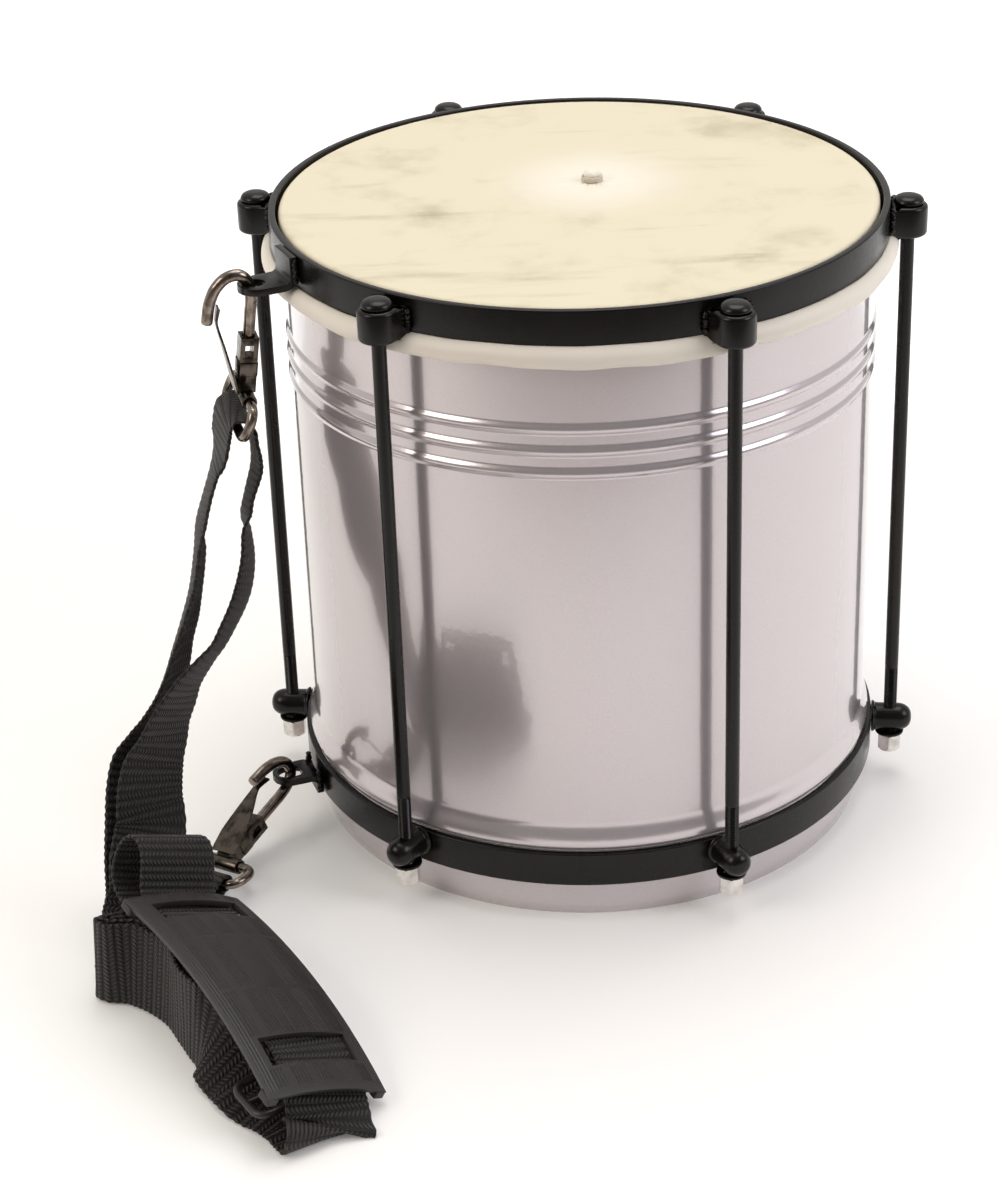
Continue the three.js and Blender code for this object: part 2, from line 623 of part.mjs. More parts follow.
// Sheet-metal body of a snap hook: a sleeve with a window round the wire, and a rolled barrel
function hookBodyGeometry() {
  const half = sleeveWidth / 2
  const sleeve = extrudeShape([[-half, sleeveBottom], [half, sleeveBottom], [half, sleeveTop],
    [-half, sleeveTop]], sleeveDepth).translate(0, 0, -sleeveDepth / 2)
  const barrel = cylinderAlongZ(barrelRadius, -barrelLength / 2, barrelLength / 2)
  const boreRadius = (ringWireRadius + clearance) / Math.cos(Math.PI / smallSegments)
  const barrelBore = cylinderAlongZ(boreRadius, -barrelLength, barrelLength)
  const [windowWidth, windowLow, windowHigh] = sleeveWindow
  const window = extrudeShape([[-windowWidth / 2, windowLow], [windowWidth / 2, windowLow],
    [windowWidth / 2, windowHigh], [-windowWidth / 2, windowHigh]], sleeveDepth + 2 * overrun)
    .translate(0, 0, -sleeveDepth / 2 - overrun)
  const wireBore = cylinderAlongZ(wireRadius + 1.3 * clearance, windowHigh - 1.3 * clearance, sleeveTop + overrun)
    .rotateX(-Math.PI / 2)
  return toGeometry(toSolid(sleeve).add(toSolid(barrel)).subtract(toSolid(barrelBore))
    .subtract(toSolid(window)).subtract(toSolid(wireBore)))
}

// Gate: a flat spring that tapers from a curl at its root and turns up inside the wire's tip
function gateGeometry() {
  const [rootX, rootY] = gatePivot
  const [bendX, bendY] = gateBend
  const [tipX, tipY] = gateTip
  const long = Math.hypot(bendX - rootX, bendY - rootY)
  const cup = Math.hypot(tipX - bendX, tipY - bendY)
  const rootHalf = gateRootWidth / 2
  const tipHalf = gateTipWidth / 2
  const neckHalf = gateNeckShare * tipHalf
  const outline = [[0, -rootHalf], [long / 4, -rootHalf], [long, -neckHalf], [long, neckHalf],
    [long / 4, rootHalf], [0, rootHalf]]
  const lay = (geometry, x, y, angle) => toSolid(geometry.translate(0, 0, -gateThickness / 2)
    .rotateX(Math.PI / 2).rotateZ(angle).translate(x, y, 0))
  const leaf = lay(extrudeShape(outline, gateThickness), rootX, rootY, Math.atan2(bendY - rootY, bendX - rootX))
  const upturn = lay(extrudeShape([[-gateThickness, -neckHalf], [cup, -tipHalf], [cup, tipHalf],
    [-gateThickness, neckHalf]], gateThickness), bendX, bendY, Math.atan2(tipY - bendY, tipX - bendX))
  const curl = cylinderAlongZ(gateCurl, -rootHalf, rootHalf, smallSegments / 2).translate(rootX, rootY, 0)
  return toGeometry(leaf.add(upturn).add(toSolid(curl)))
}

// A rounded rectangle of wire whose long side runs through the barrel, along Z, and hangs towards -Y
function ringGeometry() {
  const half = ringLength / 2 - ringWireRadius
  const drop = ringHeight - 2 * ringWireRadius
  const corners = [[-half + ringCorner, -ringCorner, 90], [-half + ringCorner, -drop + ringCorner, 180],
    [half - ringCorner, -drop + ringCorner, 270], [half - ringCorner, -ringCorner, 0]]
  const straights = [[], [[-half / 3, -drop], [half / 3, -drop]], [], [[half / 3, 0], [-half / 3, 0]]]
  const line = corners.flatMap(([z, y, from], i) => [
    ...arc(z, y, ringCorner, from, from + 90, 3), ...straights[i],
  ])
  const curve = new THREE.CatmullRomCurve3(line.map(([z, y]) => new THREE.Vector3(0, y, z)), true, 'centripetal')
  return welded(new THREE.TubeGeometry(curve, ringSteps, ringWireRadius, 8, true))
}

// Turns a group so that its X and Y follow two directions as nearly as a square frame can
function alignGroup(group, place, xAxis, yAxis) {
  const y = new THREE.Vector3(...yAxis).normalize()
  const x = new THREE.Vector3(...xAxis)
  x.addScaledVector(y, -x.dot(y)).normalize()
  const z = new THREE.Vector3().crossVectors(x, y)
  group.quaternion.setFromRotationMatrix(new THREE.Matrix4().makeBasis(x, y, z))
  group.position.set(...place)
  return z
}

function makeHook(label, pose) {
  const hook = new THREE.Group()
  const across = alignGroup(hook, pose.place, pose.towardsTip, pose.along)
  cuica.add(hook)
  const line = hookWire.map(([x, y]) => [x, y, 0])
  addPart(hook, `${label}_hook_wire`, tubeAlong(line, wireRadius, hookWireSteps, 4), 'nickel')
  addPart(hook, `${label}_hook_body`, hookBodyGeometry(), 'nickel')
  addPart(hook, `${label}_hook_gate`, gateGeometry(), 'nickel')

  const ring = new THREE.Group()
  const hang = new THREE.Vector3(...pose.ringHangs)
  hang.addScaledVector(across, -hang.dot(across)).normalize()
  const face = new THREE.Vector3().crossVectors(hang.clone().negate(), across)
  ring.quaternion.setFromRotationMatrix(new THREE.Matrix4().makeBasis(face, hang.clone().negate(), across))
  ring.position.set(...pose.place)
  cuica.add(ring)
  addPart(ring, `${label}_strap_ring`, ringGeometry(), 'nickel')
}

// Webbing as a flat band: each station gives the middle of the band and the way its width points.
// Where it would dip under the floor it is lifted to lie on it.
function bandGeometry(stations, steps) {
  const middle = new THREE.CatmullRomCurve3(stations.map((s) => new THREE.Vector3(...s.slice(0, 3))),
    false, 'centripetal')
  const widths = new THREE.CatmullRomCurve3(stations.map((s) => new THREE.Vector3(...s.slice(3, 6))))
  const shares = new THREE.CatmullRomCurve3(stations.map((s) => new THREE.Vector3(s[6] ?? 1, 0, 0)))
  const positions = []
  for (let i = 0; i <= steps; i++) {
    const along = i / steps
    const point = middle.getPoint(along)
    const forward = middle.getTangent(along)
    const across = widths.getPoint(along)
    across.addScaledVector(forward, -across.dot(forward)).normalize()
    const normal = new THREE.Vector3().crossVectors(forward, across)
    const half = webbingWidth / 2 * shares.getPoint(along).x
    const reach = half * Math.abs(across.z) + webbingThickness / 2 * Math.abs(normal.z)
    point.z = Math.max(point.z, reach + clearance)
    for (const [a, n] of [[-1, -1], [1, -1], [1, 1], [-1, 1]]) {
      const corner = point.clone().addScaledVector(across, a * half)
      corner.addScaledVector(normal, n * webbingThickness / 2)
      positions.push(corner.x, corner.y, corner.z)
    }
  }
  const index = [0, 2, 1, 0, 3, 2]
  for (let i = 0; i < steps; i++) {
    for (let j = 0; j < 4; j++) {
      const a = 4 * i + j
      const b = 4 * i + (j + 1) % 4
      index.push(a, b, b + 4, a, b + 4, a + 4)
    }
  }
  const last = 4 * steps
  index.push(last, last + 1, last + 2, last, last + 2, last + 3)
  const geometry = new THREE.BufferGeometry()
  geometry.setAttribute('position', new THREE.Float32BufferAttribute(positions, 3))
  geometry.setIndex(index)
  return geometry
}

const pad = new THREE.Group()
pad.position.set(...padPlace)
pad.rotation.set(...padTurn.map(radians), 'ZYX')
pad.updateMatrix()
cuica.add(pad)

function padStation([along, above, tilt]) {
  const place = new THREE.Vector3(along, 0, above).applyMatrix4(pad.matrix)
  const across = new THREE.Vector3(0, Math.cos(Math.asin(tilt)), tilt).applyQuaternion(pad.quaternion)
  return [...place.toArray(), ...across.toArray()]
}

function makeStrap() {
  const underPad = [...padRoute.map(padStation), ...loopRoute]
  addPart(cuica, 'strap_pad_run', bandGeometry(underPad, padRunSteps), 'webbing')
  addPart(cuica, 'strap_legs', bandGeometry(legRoute, legSteps), 'webbing')
  addPart(cuica, 'strap_sewn_end', bandGeometry(sewnRoute, sewnSteps), 'webbing')
}

// Height of the pad's middle surface, arched along its length and crowned across its width
function padHeight(along, across) {
  const b = along / (padLength / 2)
  const a = across / (padWidth / 2)
  return padArch * (1 - b * b) - padArch / 2 + padCrown * (1 - a * a)
}

function makePad() {
  const positions = []
  const index = []
  const row = padWidthSteps + 1
  const layer = row * (padLengthSteps + 1)
  for (const side of [1, -1]) {
    for (let i = 0; i <= padLengthSteps; i++) {
      for (let j = 0; j <= padWidthSteps; j++) {
        const x = padLength * (i / padLengthSteps - 1 / 2)
        const y = padWidth * (j / padWidthSteps - 1 / 2)
        positions.push(x, y, padHeight(x, y) + side * padThickness / 2)
      }
    }
  }
  for (let i = 0; i < padLengthSteps; i++) {
    for (let j = 0; j < padWidthSteps; j++) {
      const a = i * row + j
      index.push(a, a + row, a + row + 1, a, a + row + 1, a + 1)
      index.push(layer + a, layer + a + row + 1, layer + a + row, layer + a, layer + a + 1, layer + a + row + 1)
    }
  }
  const edge = []
  for (let i = 0; i < padLengthSteps; i++) edge.push(i * row)
  for (let j = 0; j < padWidthSteps; j++) edge.push(padLengthSteps * row + j)
  for (let i = padLengthSteps; i > 0; i--) edge.push(i * row + padWidthSteps)
  for (let j = padWidthSteps; j > 0; j--) edge.push(j)
  edge.forEach((a, i) => {
    const b = edge[(i + 1) % edge.length]
    index.push(a, b + layer, b, a, a + layer, b + layer)
  })
  const sheet = new THREE.BufferGeometry()
  sheet.setAttribute('position', new THREE.Float32BufferAttribute(positions, 3))
  sheet.setIndex(index)
  let solid = toSolid(sheet)
  for (const [from, to] of padSlots) {
    const slot = [[from, -padSlotHalfWidth], [to, -padSlotHalfWidth], [to, padSlotHalfWidth],
      [from, padSlotHalfWidth]]
    solid = solid.subtract(toSolid(extrudeShape(slot, 2 * padWidth).translate(0, 0, -padWidth)))
  }
  const [footLength, footWidth, footDrop] = padFoot
  for (const end of [-1, 1]) {
    for (const side of [-1, 1]) {
      const x = end * (padLength - footLength) / 2
      const y = side * (padWidth - footWidth) / 2
      const top = padHeight(x, y)
      const foot = new THREE.BoxGeometry(footLength, footWidth, footDrop + padThickness / 2)
        .translate(x, y, top - padThickness / 2 - footDrop / 2)
      solid = solid.add(toSolid(foot))
    }
  }
  addPart(pad, 'shoulder_pad', toGeometry(solid), 'rubber')
}

// Three-bar slider that the end of the webbing is sewn to
function makeSlider() {
  const slider = new THREE.Group()
  alignGroup(slider, sliderPlace, sliderAcross, sliderAlong)
  cuica.add(slider)
  const x = sliderLength / 2
  const y = sliderDepth / 2
  const outline = [[x - sliderCorner, -y], [x, -y + sliderCorner], [x, y - sliderCorner],
    [x - sliderCorner, y], [-x + sliderCorner, y], [-x, y - sliderCorner], [-x, -y + sliderCorner],
    [-x + sliderCorner, -y]]
  const slots = [-1, 1].map((side) => {
    const near = side * sliderBar / 2
    const far = side * (y - sliderRail)
    return [[x - sliderRail, near], [-x + sliderRail, near], [-x + sliderRail, far], [x - sliderRail, far]]
  })
  const frame = extrudeShape(outline, sliderThickness, slots).translate(0, 0, -sliderThickness / 2)
  addPart(slider, 'strap_slider', toGeometry(toSolid(frame)), 'rubber')
}

makeShell()
makeSkin()
makeStick()
makeHoops()
makeTensioning()
makeTabs()
makeHook('upper', upperHook)
makeHook('lower', lowerHook)
makePad()
makeStrap()
makeSlider()

export default cuica
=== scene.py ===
# %% [markdown]
# # A cuica, the friction drum of samba
#
# A steel shell stands on its open lower rim. Six rods pull a black hoop down over a rawhide skin,
# and a thin stick is tied inside to the middle of the skin. A padded strap hangs from two hooks.
# Nearly every piece below is a surface worked out with numpy, in millimetres, in the frame of the
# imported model: the drum's axis is Z and the floor is at zero.

# %% Frame and units
import math
from functools import partial
import bmesh
import bpy
import numpy as np
from mathutils import Matrix, Vector


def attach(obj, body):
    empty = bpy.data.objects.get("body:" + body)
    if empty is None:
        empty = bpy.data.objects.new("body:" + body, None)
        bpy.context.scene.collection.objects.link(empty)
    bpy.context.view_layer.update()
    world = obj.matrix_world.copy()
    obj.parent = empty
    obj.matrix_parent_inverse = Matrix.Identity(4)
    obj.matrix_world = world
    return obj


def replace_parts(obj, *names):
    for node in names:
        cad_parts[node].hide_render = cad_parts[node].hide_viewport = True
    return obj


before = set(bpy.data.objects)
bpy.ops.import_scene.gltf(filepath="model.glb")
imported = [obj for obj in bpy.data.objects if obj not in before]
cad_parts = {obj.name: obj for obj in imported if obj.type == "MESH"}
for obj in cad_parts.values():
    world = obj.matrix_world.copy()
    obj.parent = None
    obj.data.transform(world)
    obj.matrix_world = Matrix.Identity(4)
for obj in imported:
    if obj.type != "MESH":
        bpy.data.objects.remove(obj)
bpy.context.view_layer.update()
MM = 0.001
TAU = 2 * math.pi

def linked(name, data):
    """A new object in the scene."""
    made = bpy.data.objects.new(name, data)
    bpy.context.scene.collection.objects.link(made)
    return made

# %% [markdown]
# ## The camera
#
# A drum is full of circles, so the camera can be worked out from their ellipses: it looks down by
# about 26 degrees from 1.3 metres away, and the picture is tilted by 2 degrees. A camera could be
# moved by hand until the view fits, but one that is worked out also gives the sizes of what it sees.

# %% Camera
PICTURE = (998, 1200)
VIEW_FROM = np.array([-38.59, -1111.25, 684.05])
VIEW_BACK = np.array([0.0, -0.894597, 0.446874])
VIEW_RIGHT = np.array([0.999386, -0.015655, -0.031339])
FOCAL_PIXELS = 2747.32
CENTRE_ROW = 520
SENSOR = 36

def make_camera():
    """Puts the camera at its place, with its axes as the columns of its matrix."""
    data = bpy.data.cameras.new("camera")
    data.sensor_fit = "AUTO"
    data.sensor_width = SENSOR
    data.lens = FOCAL_PIXELS / PICTURE[1] * SENSOR
    data.shift_y = (CENTRE_ROW - PICTURE[1] / 2) / PICTURE[1]
    data.clip_start, data.clip_end = 0.05, 60
    camera = linked("camera", data)
    axes = np.eye(4)
    axes[:3, 0] = VIEW_RIGHT
    axes[:3, 1] = np.cross(VIEW_BACK, VIEW_RIGHT)
    axes[:3, 2] = VIEW_BACK
    axes[:3, 3] = VIEW_FROM * MM
    camera.matrix_world = Matrix(axes.tolist())
    return camera

bpy.context.scene.camera = make_camera()
bpy.context.scene.view_settings.view_transform = "Standard"
print("lens", round(bpy.context.scene.camera.data.lens, 2), "mm")

# %% [markdown]
# ## Lines, grids and sweeps
#
# A few helpers make every shape. A line is smoothed through its given points. A grid of points
# becomes a mesh, with seams and poles closed by merging what falls together. A section is carried
# along a line, or turned about the drum's axis. Curve objects and the Screw modifier could do the
# same, but this way each formula can be read, and each piece is a plain mesh from the start.

# %% Smooth lines
def smooth_line(points, steps):
    """A curve through all the points, with the spacing of its spans taken from their lengths:
    the centripetal form of the Catmull-Rom spline, so that it doesn't overshoot at tight turns."""
    p = np.asarray(points, float)
    if p.ndim == 1:
        p = p[:, None]
    ends = np.vstack([2 * p[:1] - p[1:2], p, 2 * p[-1:] - p[-2:-1]])
    a, b, c, d = ends[:-3], ends[1:-2], ends[2:-1], ends[3:]
    t1 = np.maximum(np.linalg.norm(c - b, axis=1, keepdims=True) ** 0.5, 1e-4)
    t0 = np.linalg.norm(b - a, axis=1, keepdims=True) ** 0.5
    t2 = np.linalg.norm(d - c, axis=1, keepdims=True) ** 0.5
    t0, t2 = np.where(t0 < 1e-4, t1, t0), np.where(t2 < 1e-4, t1, t2)
    m1 = ((b - a) / t0 - (c - a) / (t0 + t1) + (c - b) / t1) * t1
    m2 = ((c - b) / t1 - (d - b) / (t1 + t2) + (d - c) / t2) * t1
    t = np.linspace(0, 1, steps, endpoint=False)[None, :, None]
    b, c, m1, m2 = (x[:, None] for x in (b, c, m1, m2))
    spans = b + m1 * t + (3 * (c - b) - 2 * m1 - m2) * t ** 2 + (2 * (b - c) + m1 + m2) * t ** 3
    return np.vstack([spans.reshape(-1, p.shape[1]), p[-1:]])

def evenly(line, spacing, *others):
    """The line again with its points at even distances, and the other values carried along."""
    run = np.concatenate([[0], np.cumsum(np.linalg.norm(np.diff(line, axis=0), axis=1))])
    marks = np.linspace(0, run[-1], max(2, int(round(run[-1] / spacing)) + 1))
    out = [np.stack([np.interp(marks, run, v) for v in np.asarray(x).T], 1)
           for x in (line, *others)]
    return (marks, *out)

def unit(v):
    """Vectors shortened or lengthened to one."""
    return v / np.linalg.norm(v, axis=-1, keepdims=True)

def ring(count):
    """Angles once round, with the first one repeated at the end."""
    return np.linspace(0, TAU, count + 1)

def round_section(radius, count):
    """A circle as rows of (across, up)."""
    angle = ring(count)
    return radius * np.stack([np.cos(angle), np.sin(angle)], 1)

def flat_section(width, thickness, count):
    """A flat oblong with round edges: straight on its broad sides, half circles at its ends."""
    r = thickness / 2
    turn = np.linspace(-math.pi / 2, math.pi / 2, 5)
    half = width / 2 - r
    end = np.stack([half + r * np.cos(turn), r * np.sin(turn)], 1)
    across = np.linspace(half, -half, count)[1:-1]
    top = np.stack([across, np.full(len(across), r)], 1)
    return np.vstack([end, top, -end, -top, end[:1]])

# %% Grids into meshes
def skin_over(name, grids, look, sharp=38, lengths=None, keep=None):
    """One object from one or more grids of points (rows, columns, 3) in millimetres. Each cell of a
    grid is a face. Points that fall together are merged, which closes seams and poles, and the
    faces are then turned outwards. The UV map is the place on the grid, in metres where lengths
    are given."""
    points, faces, marks, start = [], [], [], 0
    for number, grid in enumerate(grids):
        rows, columns = grid.shape[:2]
        first = (np.arange(rows - 1)[:, None] * columns + np.arange(columns - 1)).ravel() + start
        faces.append(np.stack([first, first + 1, first + columns + 1, first + columns], 1))
        points.append(grid.reshape(-1, 3) * MM)
        if lengths:
            u, v = (np.asarray(x, float) * MM for x in lengths[number])
        else:
            u, v = np.linspace(0, 1, rows), np.linspace(0, 1, columns)
        marks.append(np.stack(np.broadcast_arrays(u[:, None], v[None]), -1).reshape(-1, 2))
        start += rows * columns
    points, faces, marks = np.vstack(points), np.vstack(faces), np.vstack(marks)
    if keep is not None:
        faces = faces[keep]
    mesh = bpy.data.meshes.new(name)
    mesh.from_pydata(points.tolist(), [], faces.tolist())
    mesh.uv_layers.new(name="run").data.foreach_set("uv", marks[faces].ravel())
    built = bmesh.new()
    built.from_mesh(mesh)
    bmesh.ops.remove_doubles(built, verts=built.verts, dist=2e-7)
    bmesh.ops.recalc_face_normals(built, faces=built.faces)
    built.to_mesh(mesh)
    built.free()
    mesh.shade_smooth()
    mesh.set_sharp_from_angle(angle=math.radians(sharp))
    mesh.materials.append(look)
    return linked(name, mesh)

def sweep(line, section, across, grow=None, closed=False):
    """Carries a section (across, up) along a line. The across directions are squared to the line's
    own direction, and up is at right angles to both. grow scales the section at each point, and the
    ends are closed unless the line is."""
    if closed:
        ahead = np.roll(line[:-1], -1, 0) - np.roll(line[:-1], 1, 0)
        ahead = np.vstack([ahead, ahead[:1]])
    else:
        ahead = np.gradient(line, axis=0)
    ahead = unit(ahead)
    across = np.broadcast_to(np.asarray(across, float), line.shape)
    across = unit(across - (across * ahead).sum(1, keepdims=True) * ahead)
    up = np.cross(ahead, across)
    section = np.asarray(section, float)
    if section.ndim == 2:
        section = np.broadcast_to(section, (len(line), *section.shape))
    if grow is not None:
        section = section * np.asarray(grow, float).reshape(len(line), 1, -1)
    grid = line[:, None] + section[..., :1] * across[:, None] + section[..., 1:] * up[:, None]
    if closed:
        return grid
    first = np.broadcast_to(grid[:1].mean(1, keepdims=True), grid[:1].shape)
    last = np.broadcast_to(grid[-1:].mean(1, keepdims=True), grid[:1].shape)
    return np.concatenate([first, grid, last])

def turned(profile, count, centre=(0, 0)):
    """Turns a profile of (radius, height) about a vertical axis through the centre."""
    angle = ring(count)
    r, z = np.asarray(profile, float).T
    return np.stack([
        centre[0] + r[:, None] * np.cos(angle), centre[1] + r[:, None] * np.sin(angle),
        np.broadcast_to(z[:, None], (len(r), len(angle)))], -1)

def softened(corners, radius, steps=4):
    """A closed outline with each corner replaced by an arc that touches both of its sides."""
    p = np.asarray(corners, float)
    radii = np.broadcast_to(radius, len(p)).astype(float)
    before, after = np.roll(p, 1, 0), np.roll(p, -1, 0)
    a, b = unit(before - p), unit(after - p)
    half = np.arccos(np.clip((a * b).sum(1), -1, 1)) / 2
    back = np.minimum(radii / np.tan(half), 0.49 * np.minimum(
        np.linalg.norm(before - p, axis=1), np.linalg.norm(after - p, axis=1)))
    t = np.linspace(0, 1, steps + 1)[None, :, None]
    start, end = (p + a * back[:, None])[:, None], (p + b * back[:, None])[:, None]
    bent = (1 - t) ** 2 * start + 2 * t * (1 - t) * p[:, None] + t ** 2 * end
    out = bent.reshape(-1, 2)
    return np.vstack([out, out[:1]])

def placed(grid, place, x, y, z):
    """A grid in a piece's own frame, moved to where that frame is."""
    return np.asarray(place, float) + grid @ np.stack([x, y, z])

def modified(piece, name, kind, **settings):
    """Adds a modifier with its settings."""
    made = piece.modifiers.new(name, kind)
    for key, value in settings.items():
        setattr(made, key, value)

def done(piece, body, slot, *nodes):
    """Says which body a piece rides on and which solids it stands for. Its slot is not used."""
    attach(piece, body)
    if nodes:
        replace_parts(piece, *nodes)
    print(piece.name, len(piece.data.polygons), "faces")
    return piece

# %% [markdown]
# ## Finishes
#
# Every finish is a few nodes, on the object's own coordinates or, for webbing and thread, on the
# piece's UV map. Painted images could do it too, but noise has no seams and stays sharp from close
# by. One function adds a node, sets its values and links its inputs. A noise node's four inputs are
# the place, one over the size of its blots in metres, the detail and the roughness.

# %% Node helpers
SOFT = {"interpolation_type": "SMOOTHSTEP"}
COLOUR = {"data_type": "RGBA"}

def linear(code):
    """An sRGB hex colour as the linear values that a shader wants."""
    parts = [int(code[i:i + 2], 16) / 255 for i in (1, 3, 5)]
    return (*[c / 12.92 if c <= 0.04045 else ((c + 0.055) / 1.055) ** 2.4 for c in parts], 1)

def add_node(tree, kind, inputs=(), output=None, **settings):
    """Adds one node and gives back its output: the one asked for, or else the first in use. A second
    word in kind is its operation. Its inputs are named, or listed in the order of those in use, and
    each is a value, a hex colour or the output of another node."""
    kind, _, operation = kind.partition(" ")
    made = tree.nodes.new("ShaderNode" + kind)
    if operation:
        made.operation = operation
    for key, value in settings.items():
        setattr(made, key, value)
    in_use = [socket for socket in made.inputs if socket.enabled]
    for key, value in inputs.items() if isinstance(inputs, dict) else enumerate(inputs):
        socket = made.inputs[key] if isinstance(key, str) else in_use[key]
        if isinstance(value, bpy.types.NodeSocket):
            tree.links.new(value, socket)
        else:
            socket.default_value = linear(value) if isinstance(value, str) else value
    if output is not None:
        return made.outputs[output]
    return next((socket for socket in made.outputs if socket.enabled), None)

def new_look(name):
    """A material without nodes, the function that adds them, and the surface's place in metres."""
    look = bpy.data.materials.new(name)
    look.use_nodes = True
    look.node_tree.nodes.clear()
    add = partial(add_node, look.node_tree)
    return look, add, add("TexCoord", output="Object")

def finished(look, add, inputs):
    """The material with its main shader."""
    add("OutputMaterial", {"Surface": add("BsdfPrincipled", inputs)})
    print(look.name, len(look.node_tree.nodes), "nodes")
    return look

# %% [markdown]
# Rawhide is scraped skin, dried under tension. It has cloudy grey-brown blots where it was thicker,
# long faint streaks, and a paler ring where the stick's nub has stretched it. The blots and streaks
# are noises of different sizes, and the ring is a ramp of the distance from the nub. They are mixed
# in turn over the cream, so that each can be adjusted without the others. The pores are drawn about
# 1 mm wide, because real ones are too fine to show.

# %% Rawhide
STICK_AT = (6.7, 15.8)

def make_rawhide():
    """Cream with soft blots 45 mm across, streaks and fine mottling, paler round the stick and at
    the lap."""
    look, add, where = new_look("scraped_rawhide")
    blots = add("MapRange", [add("TexNoise", [where, 1 / 0.045, 5, 0.6]), 0.5, 0.78], **SOFT)
    drawn = add("Mapping", {"Vector": where, "Scale": (0.35, 1.9, 1)})
    streaks = add("MapRange", [add("TexNoise", [drawn, 1 / 0.03, 4, 0.6]), 0.56, 0.78], **SOFT)
    dark = add("Math MULTIPLY_ADD", [blots, 0.55, add("Math MULTIPLY", [streaks, 0.42])])
    mottle = add("TexNoise", [where, 1 / 0.007, 3, 0.55])
    dark = add("Math MULTIPLY", [dark, add("Math ADD", [mottle, 0.45])])
    far = add("VectorMath DISTANCE", [where, (STICK_AT[0] * MM, STICK_AT[1] * MM, 0.283)])
    away = add("MapRange", [far, 0.006, 0.052], **SOFT)
    halo = add("Math MULTIPLY_ADD", [away, -0.75, 0.75])
    height = add("SeparateXYZ", [where], output=2)
    lap = add("MapRange", [height, 0.266, 0.28, 0.85, 0], **SOFT)
    pores = add("MapRange", [add("TexNoise", [where, 1 / 0.0011, 2, 0.55]), 0.68, 0.8], **SOFT)
    pores = add("Math MULTIPLY", [pores, 0.1])
    base = add("Mix", [add("Math MULTIPLY", [dark, away]), "#dfd5ba", "#a89b7e"], **COLOUR)
    for share, colour in ((halo, "#efe9dc"), (lap, "#f1eadf"), (pores, "#8c7a5c")):
        base = add("Mix", [share, base, colour], **COLOUR)
    waves = add("TexNoise", [where, 1 / 0.03, 2, 0.55])
    waves = add("Bump", {"Height": waves, "Distance": 0.0006, "Strength": 0.5})
    fine = add("TexNoise", [where, 1 / 0.0016, 3, 0.55])
    return finished(look, add, {
        "Base Color": base, "Roughness": 0.5, "Specular IOR Level": 0.4,
        "Normal": add("Bump", {"Height": fine, "Distance": 0.0001, "Strength": 0.5, "Normal": waves})})

rawhide = make_rawhide()

# %% [markdown]
# The shell is sheet steel under silver lacquer. The flakes give a soft metal sheen, and the clear
# coat on top gives sharp reflections that its faint orange peel breaks up. A full metal would look
# like chrome, so the shader is only about half metallic under a full coat. Real flakes are too fine
# to show, so they are drawn 0.6 mm wide.

# %% Silver lacquer
def make_silver_lacquer():
    """Soft metal with faint dents 60 mm wide, under a clear coat with orange peel 2.6 mm across."""
    look, add, where = new_look("silver_lacquer_on_steel")
    flake = add("TexNoise", [where, 1 / 0.0006, 1, 0.55])
    dents = add("TexNoise", [where, 1 / 0.06, 2, 0.4])
    dents = add("Bump", {"Height": dents, "Distance": 0.0009, "Strength": 0.35})
    peel = add("TexNoise", [where, 1 / 0.0026, 1, 0.55])
    peel = {"Height": peel, "Distance": 0.00006, "Normal": dents}
    return finished(look, add, {
        "Base Color": add("Mix", [flake, "#c4bbbd", "#d3cbcd"], **COLOUR),
        "Metallic": 0.55, "Roughness": 0.22, "Normal": add("Bump", {**peel, "Strength": 0.35}),
        "Coat Weight": 1, "Coat Roughness": 0.03, "Coat IOR": 1.8,
        "Coat Normal": add("Bump", {**peel, "Strength": 0.3})})

silver = make_silver_lacquer()

# %% [markdown]
# The hoops, lugs, rods and tabs are steel under thick black enamel. It is almost a mirror, but its
# surface is a little wavy, and at the welds it runs over the beads. It is made as a dark gloss and
# not as a metal, because a black metal would reflect almost nothing.

# %% Black enamel
def make_black_enamel():
    """Warm black, glossy, with smudges 14 mm and waves 3 mm across."""
    look, add, where = new_look("black_enamel_on_steel")
    smudge = add("TexNoise", [where, 1 / 0.014, 3, 0.55])
    waves = add("TexNoise", [where, 1 / 0.003, 2, 0.55])
    return finished(look, add, {
        "Base Color": add("Mix", [smudge, "#080706", "#100d0b"], **COLOUR),
        "Roughness": add("MapRange", {"Value": smudge, "To Min": 0.17, "To Max": 0.36}),
        "Specular IOR Level": 0.3,
        "Normal": add("Bump", {"Height": waves, "Distance": 0.00012, "Strength": 0.35})})

enamel = make_black_enamel()

# %% [markdown]
# The plated parts are full metals: bright zinc on the nuts, and a darker warm nickel on the hooks
# and rings, dulled in patches by handling. The wire inside the skin's edge is bare steel. They differ
# only in two colours and in gloss, so one function makes them all. The grain of the plating is
# drawn 0.9 mm wide, because the real one is too fine to show.

# %% Plated metals
def make_plated(name, light, dark, low, high):
    """A metal whose colour and gloss vary between two values in patches 5 mm across."""
    look, add, where = new_look(name)
    patch = add("TexNoise", [where, 1 / 0.005, 4, 0.55])
    grain = add("TexNoise", [where, 1 / 0.0009, 2, 0.55])
    shade = add("MapRange", [patch, 0.4, 0.7], **SOFT)
    return finished(look, add, {
        "Base Color": add("Mix", [shade, light, dark], **COLOUR), "Metallic": 1,
        "Roughness": add("MapRange", {"Value": patch, "To Min": low, "To Max": high}),
        "Normal": add("Bump", {"Height": grain, "Distance": 0.00003, "Strength": 0.4})})

